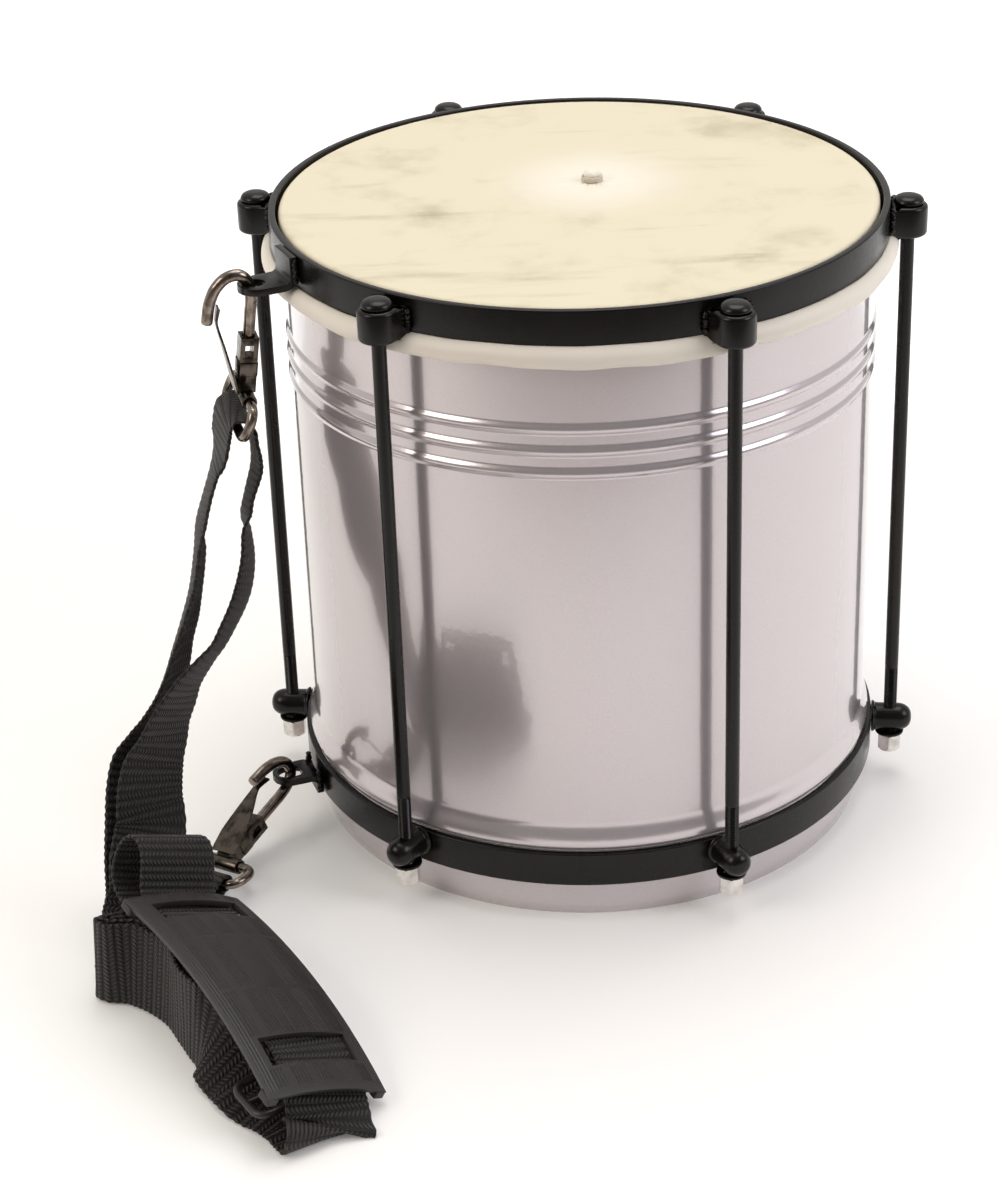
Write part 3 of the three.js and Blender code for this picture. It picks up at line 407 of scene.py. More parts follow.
zinc = make_plated("bright_zinc_plate", "#e6e3de", "#c9c5bf", 0.12, 0.26)
nickel = make_plated("dark_nickel_plate", "#94897f", "#5c5249", 0.12, 0.26)
black_nickel = make_plated("black_nickel_plate", "#5d554e", "#2e2824", 0.14, 0.3)
wire_steel = make_plated("plain_steel_wire", "#9a9896", "#77736f", 0.3, 0.45)

# %% [markdown]
# Webbing is woven of thick polypropylene yarn. Each row of knots crosses the band, and the knots
# lean one way in one row and the other way in the next, so the band looks like rows of plaits. An
# image of the weave could be tiled along it, but two sine waves, of the distance along the band and
# of the distance across it, do it with no seams. Finer rows would melt into a flat grey from where
# the camera is, so they are drawn as coarse as they need to be.

# %% Woven webbing
ROW_PITCH = 3.1
KNOT_PITCH = 1.9

def make_webbing():
    """Rows across the band, worked out from the UV map, which holds metres along and across,
    with a painted highlight on the knots and painted shade between them.
    """
    look, add, _ = new_look("woven_polypropylene")
    run = add("UVMap", uv_map="run")
    row = add("Math DIVIDE", [add("SeparateXYZ", [run], output=0), ROW_PITCH * MM])
    inside = add("Math FRACT", [row])
    odd = add("Math MODULO", [add("Math FLOOR", [row]), 2])
    side = add("Math MULTIPLY_ADD", [odd, 2, -1])
    lean = add("Math MULTIPLY", [add("Math MULTIPLY_ADD", [inside, 0.85, -0.425]), side])
    across = add("Math DIVIDE", [add("SeparateXYZ", [run], output=1), KNOT_PITCH * MM])
    across = add("Math MULTIPLY", [add("Math ADD", [across, lean]), math.pi])
    knot = add("Math ABSOLUTE", [add("Math SINE", [across])])
    ridge = add("Math SINE", [add("Math MULTIPLY", [inside, math.pi])])
    height = add("Math MULTIPLY", [add("Math POWER", [knot, 1.1]), add("Math POWER", [ridge, 0.8])])
    # Painted highlight and painted shade: the colour follows the height of the weave, lighter on the knot
    # tops and near black in the gaps between them.
    shade = add("MapRange", [height, 0.45, 0.98], **SOFT)
    return finished(look, add, {
        "Base Color": add("Mix", [shade, "#020101", "#3a322c"], **COLOUR), "Roughness": 0.62,
        "Specular IOR Level": 0.4, "Sheen Weight": 0.12, "Sheen Roughness": 0.4,
        "Normal": add("Bump", {"Height": height, "Distance": 0.0006, "Strength": 1})})

webbing = make_webbing()

# %% [markdown]
# The shoulder pad is moulded rubber, dark grey rather than black, with a dull skin. The slider and
# the stick's cane and thread need only simple finishes. The grain of a mould is too fine to show, so
# it is drawn 0.8 mm wide on the pad and 0.7 mm on the slider.

# %% Rubber, plastic, cane and thread
def make_rubber():
    """Dull charcoal with faint blooms 12 mm across and a fine moulded grain."""
    look, add, where = new_look("moulded_rubber")
    bloom = add("TexNoise", [where, 1 / 0.012, 4, 0.55])
    grain = add("TexNoise", [where, 1 / 0.0008, 2, 0.55])
    return finished(look, add, {
        "Base Color": add("Mix", [bloom, "#1e1b1a", "#2b2725"], **COLOUR),
        "Roughness": add("MapRange", {"Value": bloom, "To Min": 0.42, "To Max": 0.6}),
        "Normal": add("Bump", {"Height": grain, "Distance": 0.00004, "Strength": 0.4})})

def make_slider_plastic():
    """Satin charcoal plastic with a fine spark-eroded grain."""
    look, add, where = new_look("satin_nylon")
    grain = add("TexNoise", [where, 1 / 0.0007, 2, 0.55])
    return finished(look, add, {
        "Base Color": "#2a2726", "Roughness": 0.34,
        "Normal": add("Bump", {"Height": grain, "Distance": 0.00004, "Strength": 0.4})})

def make_cane():
    """Straw-coloured cane with fibres 0.8 mm wide running up the stick."""
    look, add, where = new_look("peeled_cane")
    drawn = add("Mapping", {"Vector": where, "Scale": (1, 1, 0.03)})
    fibre = add("TexNoise", [drawn, 1 / 0.0008, 3, 0.6])
    return finished(look, add, {
        "Base Color": add("Mix", [fibre, "#b48a4c", "#d8ba80"], **COLOUR), "Roughness": 0.45,
        "Normal": add("Bump", {"Height": fibre, "Distance": 0.0001, "Strength": 0.5})})

def make_thread():
    """Off-white waxed thread. Its stripes are far finer than a real twist, and only roughen it."""
    look, add, _ = new_look("waxed_thread")
    turns = add("Mapping", {"Vector": add("UVMap", uv_map="run"), "Rotation": (0, 0, 0.6)})
    twist = add("TexWave", {"Vector": turns, "Scale": 320}, output="Fac")
    return finished(look, add, {
        "Base Color": add("Mix", [twist, "#cfc4ab", "#f2ebda"], **COLOUR), "Roughness": 0.6,
        "Normal": add("Bump", {"Height": twist, "Distance": 0.0001, "Strength": 0.6})})

rubber = make_rubber()
nylon = make_slider_plastic()
cane = make_cane()
thread = make_thread()
print("finishes:", len(bpy.data.materials))

# %% [markdown]
# ## The strap
#
# The webbing comes first, because it is the one soft thing here. One band runs from the end loop on
# the floor, under the pad and out at its upper end. The other starts on the floor, goes up to the
# upper ring, over its bar and down again. A short loop is sewn round the lower ring. A cloth
# simulation could lay the strap down, but not where the picture has it, so each route is a list of
# places and width directions.

# %% The pad's own frame
PAD_PLACE = np.array([-142.4, -214.6, 31.4])
PAD_TURN = np.radians([-24, 11.3, -57.9])
PAD_LENGTH, PAD_WIDTH, PAD_THICKNESS = 122.6, 57.8, 2.6
PAD_ARCH, PAD_CROWN = 6.6, 3.56

def pad_axes():
    """The pad's length, width and upward directions: turned about X, then Y, then Z."""
    turns = [Matrix.Rotation(a, 3, axis) for a, axis in zip(PAD_TURN, "XYZ")]
    return np.array(turns[2] @ turns[1] @ turns[0]).T

PAD_AXES = pad_axes()
print("the pad's length runs along", np.round(PAD_AXES[0], 3))

# %% Routes of the webbing
WEB_WIDTH, WEB_THICKNESS, FLOOR_GAP = 38, 1.8, 0.3
PAD_ROUTE = [
    (-68, -14, 0), (-75, -14.2, 0), (-81.6, -13.2, 0), (-87.2, -9.8, 0), (-90.2, -3.6, 0),
    (-90.6, 3.6, 0), (-87.6, 9.8, 0), (-81.6, 11.6, 0), (-75.4, 8.6, 0), (-70.6, 2.4, 0),
    (-65.8, -2.8, 0), (-58, -2.6, 0), (-44, 0.4, 0), (-24, 2.8, 0), (0, 3.7, 0), (22, 3, 0),
    (40, 0.8, 0), (52, -3.4, 0.06), (60, -7, 0.14), (66, -11.6, 0.25)]
END_LOOP = [
    (-111.9, -272.6, 6.4, 0.84, 0.53, -0.16, 1), (-113.4, -272.2, 2.4, 0.88, 0.47, -0.04, 1),
    (-117.3, -265.6, 1.2, 0.88, 0.47, 0, 1)]
LEG_ROUTE = [
    (-118.4, -263.6, 1.5, 0.81, 0.59, 0.02, 1), (-123.4, -256.8, 2.4, 0.74, 0.67, 0.07, 1),
    (-130.6, -250.4, 3.4, 0.64, 0.76, 0.09, 1), (-139.1, -243.7, 4.4, 0.65, 0.73, 0.2, 1),
    (-148.4, -236.4, 10.6, 0.68, 0.49, 0.54, 1), (-160.6, -229.6, 18.8, 0.44, 0.07, 0.9, 1),
    (-168.8, -222, 19.5, -0.03, -0.05, 1, 1), (-176.3, -209.7, 19.4, -0.1, -0.05, 0.99, 1),
    (-183.4, -194.2, 19.5, -0.03, -0.03, 1, 1), (-198, -181, 19.5, 0, 0, 1, 1),
    (-208, -178, 19.5, 0, 0, 1, 1), (-211.2, -173, 19.5, 0.05, 0.09, 0.99, 1),
    (-209.6, -169.2, 18.8, 0.19, 0.11, 0.98, 1), (-202, -161, 16.4, 0.33, -0.09, 0.94, 1),
    (-197.5, -154, 16, 0.75, -0.4, 0.52, 1), (-194.5, -146, 17, 0.97, -0.17, -0.2, 1),
    (-192.5, -136, 25, 0.86, 0.34, -0.37, 1), (-193, -127.5, 37.4, 0.77, 0.5, -0.39, 1),
    (-191.3, -118.3, 49.7, 0.7, 0.58, -0.41, 1), (-191.6, -115, 57.5, 0.66, 0.69, -0.3, 1),
    (-190.9, -111.9, 65.4, 0.63, 0.68, -0.38, 1), (-189, -108.7, 73.2, 0.56, 0.68, -0.47, 1),
    (-185.3, -105.7, 81, 0.45, 0.76, -0.48, 1), (-182, -103, 88.9, 0.36, 0.82, -0.46, 1),
    (-177.8, -100.2, 96.6, 0.29, 0.83, -0.47, 1), (-173.1, -97.4, 104.3, 0.17, 0.85, -0.5, 1),
    (-165.3, -93.3, 112.7, 0.11, 0.88, -0.46, 1), (-159.3, -89.6, 118.8, 0.04, 0.89, -0.46, 1),
    (-154.8, -85.7, 125.6, 0.06, 0.89, -0.45, 1), (-150.5, -81.5, 132.9, 0.07, 0.89, -0.45, 1),
    (-148, -78.2, 138.6, 0.07, 0.89, -0.45, 1), (-146.1, -74.8, 146.1, 0.06, 0.91, -0.4, 1),
    (-145.3, -71.7, 153.8, 0.02, 0.92, -0.38, 1), (-145.7, -68.5, 161.3, -0.03, 0.92, -0.4, 1),
    (-146, -65.2, 168.6, -0.18, 0.92, -0.35, 1), (-144.2, -62.3, 176.6, -0.14, 0.95, -0.29, 1),
    (-140.7, -58.5, 188.4, -0.17, 0.95, -0.24, 1), (-140.6, -57.2, 196.5, -0.2, 0.98, -0.1, 0.95),
    (-141.6, -57.1, 203, -0.23, 0.97, -0.04, 0.86), (-142.2, -57.1, 208.4, -0.25, 0.97, -0.04, 0.8),
    (-143.9, -57.1, 211.9, -0.14, 0.99, -0.1, 0.76), (-146.2, -57.1, 213.9, 0.01, 1, 0.05, 0.74),
    (-149.5, -57.1, 213.6, -0.08, 0.97, 0.21, 0.74), (-152.5, -57, 210.4, -0.25, 0.95, 0.16, 0.76),
    (-153.9, -57, 205.2, -0.28, 0.96, 0.02, 0.82), (-155.2, -57.6, 198.6, -0.25, 0.97, -0.03, 0.9),
    (-157.7, -58.2, 189.2, -0.14, 0.97, -0.19, 1), (-161.8, -62.9, 177.1, -0.15, 0.93, -0.33, 1),
    (-164.9, -67.5, 166.3, -0.16, 0.91, -0.37, 1), (-165.9, -72.4, 155.6, -0.04, 0.91, -0.41, 1),
    (-168.2, -78.7, 141.8, -0.02, 0.91, -0.41, 1), (-171.7, -84.1, 129.6, 0.06, 0.93, -0.36, 1),
    (-175.9, -87.4, 117.6, 0.12, 0.95, -0.29, 1), (-178.8, -89.8, 107.6, 0.18, 0.94, -0.28, 1),
    (-182.6, -92.1, 97.4, 0.23, 0.91, -0.34, 1), (-187.2, -95.1, 87.7, 0.28, 0.85, -0.45, 1),
    (-191.8, -99, 78.6, 0.39, 0.74, -0.55, 1), (-195, -103.9, 70.2, 0.57, 0.63, -0.53, 1),
    (-196.1, -109.8, 61.3, 0.65, 0.63, -0.43, 1), (-196.4, -116.4, 49.8, 0.69, 0.64, -0.34, 1),
    (-196, -123, 36.5, 0.77, 0.59, -0.26, 1), (-194.5, -131.6, 21.3, 0.87, 0.4, -0.28, 1),
    (-193.8, -144.6, 12.6, 1, -0.03, -0.08, 1), (-195.8, -154, 12.2, 0.8, -0.2, 0.56, 1),
    (-200, -162.6, 14.9, 0.43, 0.05, 0.9, 1), (-207.6, -170.4, 18.8, 0.27, 0.2, 0.94, 1),
    (-208.4, -173, 19.5, -0.01, 0.15, 0.99, 1), (-205.4, -174.8, 19.5, 0, 0, 1, 1),
    (-196.2, -177.8, 19.5, 0, 0, 1, 1), (-180.8, -192.4, 19.5, -0.03, -0.03, 1, 1),
    (-173, -208.6, 19.4, -0.1, -0.06, 0.99, 1), (-165.4, -221, 19.4, -0.01, -0.05, 1, 1),
    (-157.6, -227, 18.6, 0.19, 0.11, 0.98, 1)]
SEWN_ROUTE = [
    (-189.4, -117.5, 2.4, -0.78, 0.61, -0.05, 0.9), (-179.9, -105.2, 3, -0.78, 0.61, -0.1, 0.8),
    (-174.5, -98.2, 3.5, -0.78, 0.61, -0.13, 0.74), (-172.7, -95.9, 4.6, -0.78, 0.61, -0.13, 0.74),
    (-172.1, -95.1, 7, -0.78, 0.61, -0.13, 0.74), (-172.7, -95.9, 9.5, -0.78, 0.61, -0.13, 0.74),
    (-174.5, -98.2, 10.6, -0.78, 0.61, -0.13, 0.74), (-180.3, -105.5, 8.8, -0.78, 0.61, -0.1, 0.86),
    (-186.3, -113.3, 6.6, -0.78, 0.61, -0.05, 1), (-195.6, -125.4, 5.4, -0.78, 0.61, -0.03, 1)]

SIDE_SHIFT, SLOT_SHIFT, SLOT_MIDDLE, SLOT_SPREAD = 1.4, 2, 42, 16

def on_pad(rows):
    """Route points given in the pad's frame, as places, width directions and full width. They are
    shifted a little to the side, and more beside the lower slot, so that the band fills it."""
    along, above, tilt = np.array(rows, float).T
    place = PAD_PLACE + along[:, None] * PAD_AXES[0] + above[:, None] * PAD_AXES[2]
    beside = SIDE_SHIFT + SLOT_SHIFT * np.exp(-((along - SLOT_MIDDLE) / SLOT_SPREAD) ** 2)
    place += beside[:, None] * PAD_AXES[1]
    across = np.sqrt(1 - tilt[:, None] ** 2) * PAD_AXES[1] + tilt[:, None] * PAD_AXES[2]
    return np.hstack([place, across, np.ones((len(rows), 1))])

# Where the free legs are cupped across their width: the station and the depth in millimetres
LEG_CUPS = [(20, 0), (24, -1), (27, -2.2), (30, -2.8), (31.5, -2.4), (33.3, -2),
            (34.5, 2), (36, 1.8), (38, 0), (45, 0), (46.5, -1.4), (48.5, -3), (51, -3.2),
            (53.5, -2.2), (57, -0.4), (58, 0)]

# How far each station of the strands beside the pad leans in under it, and which way that is
LEANING = {4: 0.085, **dict.fromkeys(range(5, 10), 0.17), 10: 0.085,
           67: 0.085, **dict.fromkeys(range(68, 73), 0.17)}
UNDER_PAD = np.array([0.78, 0.62])

def leaning(route):
    """The route with its strands beside the pad standing on their lower edge and leaning in."""
    rows = np.array(route, float)
    for number, lean in LEANING.items():
        rows[number, :2] += WEB_WIDTH / 2 * lean * UNDER_PAD
        rows[number, 3:5] += math.copysign(lean, rows[number, 5]) * UNDER_PAD
    return rows

STEPS, SPACING, TOOTH, RIB = 24, 0.5, 0.01, 0.12

def band(name, stations, node, cups=((0, 0), (1, 0))):
    """A flat band along a route. Its edges are toothed and its faces ridged by the rows of the
    weave: the section is scaled by a cosine of the distance run. Where it hangs free its section
    is a shallow arch. It is lifted onto the floor where it would sink in."""
    rows = np.asarray(stations, float)
    line, across, share = (smooth_line(rows[:, a:b], STEPS) for a, b in ((0, 3), (3, 6), (6, 7)))
    across = unit(across)
    cup = np.interp(np.arange(len(line)) / STEPS, *np.array(cups, float).T)[:, None]
    reach = WEB_WIDTH / 2 * share[:, 0] * np.abs(across[:, 2])
    reach += WEB_THICKNESS / 2 * np.sqrt(1 - across[:, 2] ** 2)
    line[:, 2] = np.maximum(line[:, 2], reach + FLOOR_GAP)
    marks, line, across, share, cup = evenly(line, SPACING, across, share, cup)
    wave = np.cos(TAU * marks / ROW_PITCH)
    grow = np.stack([share[:, 0] * (1 - TOOTH * wave), 1 - RIB * wave], 1)
    section = flat_section(WEB_WIDTH - 0.6, WEB_THICKNESS * 0.85, 12)
    arched = section * grow[:, None]
    arched[..., 1] += cup * (0.6 - (2 * section[:, 0] / WEB_WIDTH) ** 2)
    grid = sweep(line, arched, across)
    grid[..., 2] = np.maximum(grid[..., 2], FLOOR_GAP / 2)
    piece = skin_over(name, [grid], webbing, 75, [(
        np.concatenate([marks[:1], marks, marks[-1:]]), section[:, 0])])
    done(piece, "drum", "webbing", node)
    print(name, "runs", round(marks[-1]), "mm")
    return piece, line * MM, marks[-1] * MM

pad_run, _, pad_run_length = band(
    "webbing_pad_run", np.vstack([on_pad(PAD_ROUTE), END_LOOP]), "strap_pad_run")
legs, legs_line, legs_length = band("webbing_legs", leaning(LEG_ROUTE), "strap_legs", LEG_CUPS)
sewn, _, sewn_length = band("webbing_sewn_end", SEWN_ROUTE, "strap_sewn_end")

# %% [markdown]
# ## The shell
#
# The real shell is one sheet rolled and welded, with three beads rolled in near the top and a swell
# above the lower hoop. It is a profile turned about the axis: the radius is a sum of soft steps and
# half waves of the height, so the beads catch two thin lights each. Bump could fake those lights,
# but the beads also have to show at the outline.

# %% Shell
SHELL_RADIUS, SHELL_WALL, SHELL_HEIGHT = 127, 1.2, 282
SKIRT_RADIUS, SWELL_RADIUS = 125.2, 129.5
BEADS, BEAD_HALF, BEAD_PROUD = (230.8, 221.15, 211.5), 2.7, 1.25
EDGE_RADIUS, LIP_RADIUS = 1.6, 121.9
TURNED_COUNT = 224

def eased(value, low, high):
    """A soft step from 0 to 1 between two values: three squares less two cubes."""
    t = np.clip((value - low) / (high - low), 0, 1)
    return t * t * (3 - 2 * t)

def shell_radius(z):
    """Outer radius at each height."""
    r = SKIRT_RADIUS + (SWELL_RADIUS - SKIRT_RADIUS) * eased(z, 29.5, 37)
    r -= (SWELL_RADIUS - SHELL_RADIUS) * eased(z, 37, 47.5)
    for middle in BEADS:
        t = np.clip((z - middle) / BEAD_HALF, -1, 1)
        r += BEAD_PROUD * np.cos(t * math.pi / 2) ** 1.3
    return r

def shell_profile():
    """Up the outside, over the curled edge, and down the inside wall to the hemmed rim."""
    z = np.concatenate([
        np.linspace(0.6, 28, 8), np.linspace(29, 48, 30), np.linspace(52, 206, 24),
        np.linspace(208, 234.5, 78), np.linspace(237, SHELL_HEIGHT - EDGE_RADIUS, 8)])
    outer = np.stack([shell_radius(z), z], 1)
    turn = np.linspace(0, math.pi / 2, 7)[1:]
    curl = np.stack([SHELL_RADIUS - EDGE_RADIUS * (1 - np.cos(turn)),
                     SHELL_HEIGHT - EDGE_RADIUS * (1 - np.sin(turn))], 1)
    lip = [(LIP_RADIUS, SHELL_HEIGHT), (LIP_RADIUS, SHELL_HEIGHT - SHELL_WALL),
           (SHELL_RADIUS - EDGE_RADIUS, SHELL_HEIGHT - SHELL_WALL)]
    down = np.concatenate([
        np.linspace(SHELL_HEIGHT - EDGE_RADIUS - 0.8, 236, 4), np.linspace(234, 208, 40),
        np.linspace(204, 50, 6), np.linspace(48, 28, 16), [SHELL_WALL]])
    inner = np.stack([shell_radius(down) - SHELL_WALL, down], 1)
    hem = [(SKIRT_RADIUS - 3.2, SHELL_WALL), (SKIRT_RADIUS - 3.2, 0), (SKIRT_RADIUS - 0.5, 0)]
    profile = np.vstack([outer, curl, lip, inner, hem])
    return np.vstack([profile, profile[:1]])

shell = skin_over("silver_shell", [turned(shell_profile(), TURNED_COUNT)], silver, 50)
done(shell, "drum", "shell_lacquer", "shell")

# %% [markdown]
# ## The skin
#
# The skin was wrapped wet round a wire hoop, so its edge is a fat uneven roll. In the middle it
# stands up over the end of the stick, where it was tied. The flat part is drawn on lines that start
# at the nub, so it is finest there, and its wrinkles fade outwards. It could be sculpted, but folds
# made of cosines of the angle meet themselves exactly after one turn.

# %% Skin
SKIN_TOP, SKIN_THICKNESS = 283.2, 0.85
LAP_RADIUS, LAP_PLACE, LAP_HEIGHT = 4.1, 131.4, 264.0
FLAT_RADIUS = 125.7

def nub_profile():
    """Distance from the nub's middle and height above the skin: tip, bulge, neck and flare."""
    return smooth_line([
        (0, 5.35), (1.3, 5.25), (2.7, 4.75), (3.55, 3.9), (3.75, 3.1), (3.62, 2.4), (3.6, 1.6),
        (3.62, 0.9), (3.9, 0.42), (4.9, 0.16), (7.5, 0.06), (12, 0.02), (18, 0)], 4)

def skin_sheet():
    """The nub and the flat top on straight lines from the nub to the edge, then the turned-down
    edge and the lap, which is turned about the drum's axis with the same number of columns."""
    angle = ring(TURNED_COUNT)
    edge = FLAT_RADIUS * np.stack([np.cos(angle), np.sin(angle)], 1)
    middle = np.array(STICK_AT)
    out, length = unit(edge - middle), np.linalg.norm(edge - middle, axis=1)
    near = nub_profile()
    far = np.linspace(0, 1, 44)[1:]
    r = np.concatenate([np.broadcast_to(near[:, :1], (len(near), len(angle))),
                        18 + far[:, None] * (length - 18)])
    z = SKIN_TOP + np.concatenate([near[:, 1], np.zeros(len(far))])[:, None] * np.ones(len(angle))
    fold = np.cos(9 * angle + 1.2) * 0.55 + np.cos(14 * angle) * 0.45
    z = z + 0.3 * fold * np.exp(-((r - 7) / 4) ** 2) + 0.12 * fold * np.exp(-((r - 15) / 10) ** 2)
    lumps = np.cos(3 * angle + 0.5) * 0.5 + np.cos(5 * angle) * 0.3 + np.cos(8 * angle + 2) * 0.25
    r = r + 0.22 * lumps * np.exp(-((z - SKIN_TOP - 3) / 1.8) ** 2) * (r < 5)
    flat = np.concatenate([middle + r[..., None] * out, z[..., None]], -1)
    turn = np.radians(np.linspace(90, 0, 6))[1:]
    down = np.stack([FLAT_RADIUS + 2.5 * np.cos(turn), SKIN_TOP - 2.5 + 2.5 * np.sin(turn)], 1)
    straight = [(128.2, 277), (128.1, 271), (127.6, 267)]
    roll = np.radians(np.linspace(172, 440, 34))
    lap = np.stack([LAP_PLACE + LAP_RADIUS * np.cos(roll), LAP_HEIGHT + LAP_RADIUS * np.sin(roll)], 1)
    rows = np.vstack([down, straight, lap])
    collar = turned(rows, TURNED_COUNT)
    uneven = 0.35 * np.cos(7 * angle + 0.7) + 0.3 * np.cos(17 * angle) + 0.22 * np.cos(31 * angle + 2)
    depth = np.clip((270 - rows[:, 1]) / 6, 0, 1)
    collar[..., 2] += 0.75 * depth[:, None] * uneven
    collar[..., :2] *= 1 - (0.0016 * depth[:, None] * (uneven - 0.4))[..., None]
    return np.concatenate([flat, collar])

skin = skin_over("rawhide_skin", [skin_sheet()], rawhide, 80)
modified(skin, "skin_wall", "SOLIDIFY", thickness=SKIN_THICKNESS * MM, offset=-1, use_even_offset=False)
done(skin, "drum", "skin", "head_skin")
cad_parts["flesh_hoop"].data.materials.clear()
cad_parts["flesh_hoop"].data.materials.append(wire_steel)

# %% [markdown]
# The stick hangs from the nub inside the drum. It is a thin cane with two knuckles, turned about
# its own axis, and a few turns of waxed thread tie the skin round its neck. The thread is swept
# along a helix, which a stack of rings would only imitate.

# %% Stick and thread
STICK_TOP, STICK_BOTTOM, STICK_RADIUS = 287.6, 57.6, 3.0

def stick_profile():
    """Radius and height of the cane: rounded foot, two knuckles, waist and head."""
    z = np.linspace(STICK_BOTTOM + 0.8, 281.2, 150)
    r = np.full(len(z), STICK_RADIUS)
    for share in (0.34, 0.68):
        middle = STICK_BOTTOM + share * (STICK_TOP - STICK_BOTTOM)
        r += 0.5 * np.exp(-((z - middle) / 1.3) ** 2) - 0.2 * np.exp(-((z - middle - 2.4) / 0.8) ** 2)
    foot = [(0, STICK_BOTTOM), (2.3, STICK_BOTTOM), (2.8, STICK_BOTTOM + 0.3)]
    head = [(2.55, 282), (2.55, 285.6), (2.66, 286.4), (2.5, 287.2), (1.4, 287.55), (0, STICK_TOP)]
    return np.vstack([foot, np.stack([r, z], 1), head])

stick = skin_over("cane_stick", [turned(stick_profile(), 28, STICK_AT)], cane, 50)
done(stick, "drum", "cane", "friction_stick")

turns = np.linspace(0, 3.1 * TAU, 150)
wind = np.stack([STICK_AT[0] + 4.3 * np.cos(turns), STICK_AT[1] + 4.3 * np.sin(turns),
                 SKIN_TOP + 0.62 + 0.62 * turns / TAU], 1)
tie = skin_over("thread_binding", [sweep(wind, round_section(0.42, 8), (0, 0, 1))], thread, 80)
done(tie, "drum", "thread", "stick_binding")

# %% [markdown]
# ## Hoops and rods
#
# Both hoops are flat bars bent to a ring and welded, so a rounded oblong turned about the axis is
# enough. Their soft edges are what makes the thin bright lines along them. A Bevel modifier could
# round them, but the outline can do it before it is turned.

# %% Hoops
TOP_HOOP = (129.4, 132.4, 268.4, 283.5)
BOTTOM_HOOP = (128.3, 131.3, 18.28, 33.88)

def hoop(name, sizes, node):
    """A bar with rounded edges, turned about the axis."""
    inside, outside, low, high = sizes
    outline = softened([(inside, low), (outside, low), (outside, high), (inside, high)], 0.75, 5)
    piece = skin_over(name, [turned(outline, TURNED_COUNT)], enamel, 60)
    return done(piece, "drum", "black_enamel", node)

hoop("top_hoop_bar", TOP_HOOP, "top_hoop")
hoop("bottom_hoop_bar", BOTTOM_HOOP, "bottom_hoop")

# %% [markdown]
# Six times round the drum there is a lug on the top hoop, a round stud on the lower one, a rod
# through both, a washer and a nut. Each is worked out at the angle zero and turned to its place. An
# Array modifier could repeat them, but each nut has to turn by itself, so all are separate pieces.

# %% Helpers for the stations
FIRST_ROD, ROD_CIRCLE, ROD_RADIUS = -6.6, 140, 3.0

def about_axis(grid, degrees):
    """A grid turned about the drum's axis."""
    a = math.radians(degrees)
    turn = np.array([[math.cos(a), math.sin(a), 0], [-math.sin(a), math.cos(a), 0], [0, 0, 1]])
    return grid @ turn

def block(outline, layers):
    """A block from a closed outline: each layer is the outline drawn in by so much, at a height.
    The first and last layers are closed to their middle."""
    ahead = np.roll(outline[:-1], -1, 0) - np.roll(outline[:-1], 1, 0)
    inward = unit(np.stack([-ahead[:, 1], ahead[:, 0]], 1))
    inward = np.vstack([inward, inward[:1]])
    rows = [np.column_stack([outline + inward * inset, np.full(len(outline), z)])
            for inset, z in layers]
    middle = outline[:-1].mean(0)
    ends = [np.broadcast_to((*middle, z), rows[0].shape) for z in (layers[0][1], layers[-1][1])]
    return np.array([ends[0], *rows, ends[1]])

def rounded_layers(low, high, radius, steps=5):
    """Layers for a block whose upper and lower edges are rounded."""
    turn = np.linspace(0, math.pi / 2, steps)
    up = [(radius * (1 - math.sin(t)), low + radius * (1 - math.cos(t))) for t in turn]
    down = [(radius * (1 - math.sin(t)), high - radius * (1 - math.cos(t))) for t in turn[::-1]]
    return up + down

def weld_bead(points, radius, seed):
    """A run of weld: a round line whose thickness swells and shrinks as the pool froze."""
    line = smooth_line(points, 8)
    run = np.linspace(0, 1, len(line))
    lumps = 1 + 0.2 * np.cos(29 * run + seed) + 0.14 * np.cos(47 * run + 2.1 * seed)
    ends = np.sqrt(np.clip(1 - np.abs(2 * run - 1) ** 6, 0.02, 1))
    return sweep(line, round_section(radius, 10), (0.3, 0.2, 1.0), lumps * ends)

# %% Lugs, studs, rods, washers and nuts at the angle zero
EAR_TOP, EAR_HEIGHT, EAR_HALF = 279.9, 13.7, 8.2
STUD_HEIGHT = 28.58
THREAD_PITCH, THREAD_DEPTH = 1.0, 0.42

def ear_grids():
    """A lug, round in plan, flared where it meets the hoop, with two runs of weld."""
    face = 132.6
    turn = np.radians(np.linspace(-90, 90, 17))
    outline = [(face, -10.2), (face + 0.9, -9.0), (face + 2.6, -8.3)]
    outline += [(ROD_CIRCLE + EAR_HALF * math.cos(t), EAR_HALF * math.sin(t)) for t in turn]
    outline += [(face + 2.6, 8.3), (face + 0.9, 9.0), (face, 10.2), (face, -10.2)]
    grids = [block(np.array(outline), rounded_layers(EAR_TOP - EAR_HEIGHT, EAR_TOP, 1.7))]
    for side in (-1, 1):
        path = [(133.2, side * 9.6, z) for z in np.linspace(EAR_TOP - 0.6, 269.6, 5)]
        grids.append(weld_bead(path, 1.35, 1 + side))
    return grids

def stud_grids():
    """A stud that points outwards from the lower hoop: a collar, a neck and a domed end."""
    profile = smooth_line([
        (0, 131.6), (6.9, 131.6), (7.3, 132), (7.1, 132.6), (6.45, 133.2), (6.3, 134.4), (6.3, 139),
        (6.3, 143.3), (6, 145.6), (5.1, 147.6), (3.7, 149), (1.9, 149.7), (0, 149.85)], 4)
    up = turned(profile, 32)
    return [np.stack([up[..., 2], up[..., 1], STUD_HEIGHT - up[..., 0]], -1)]

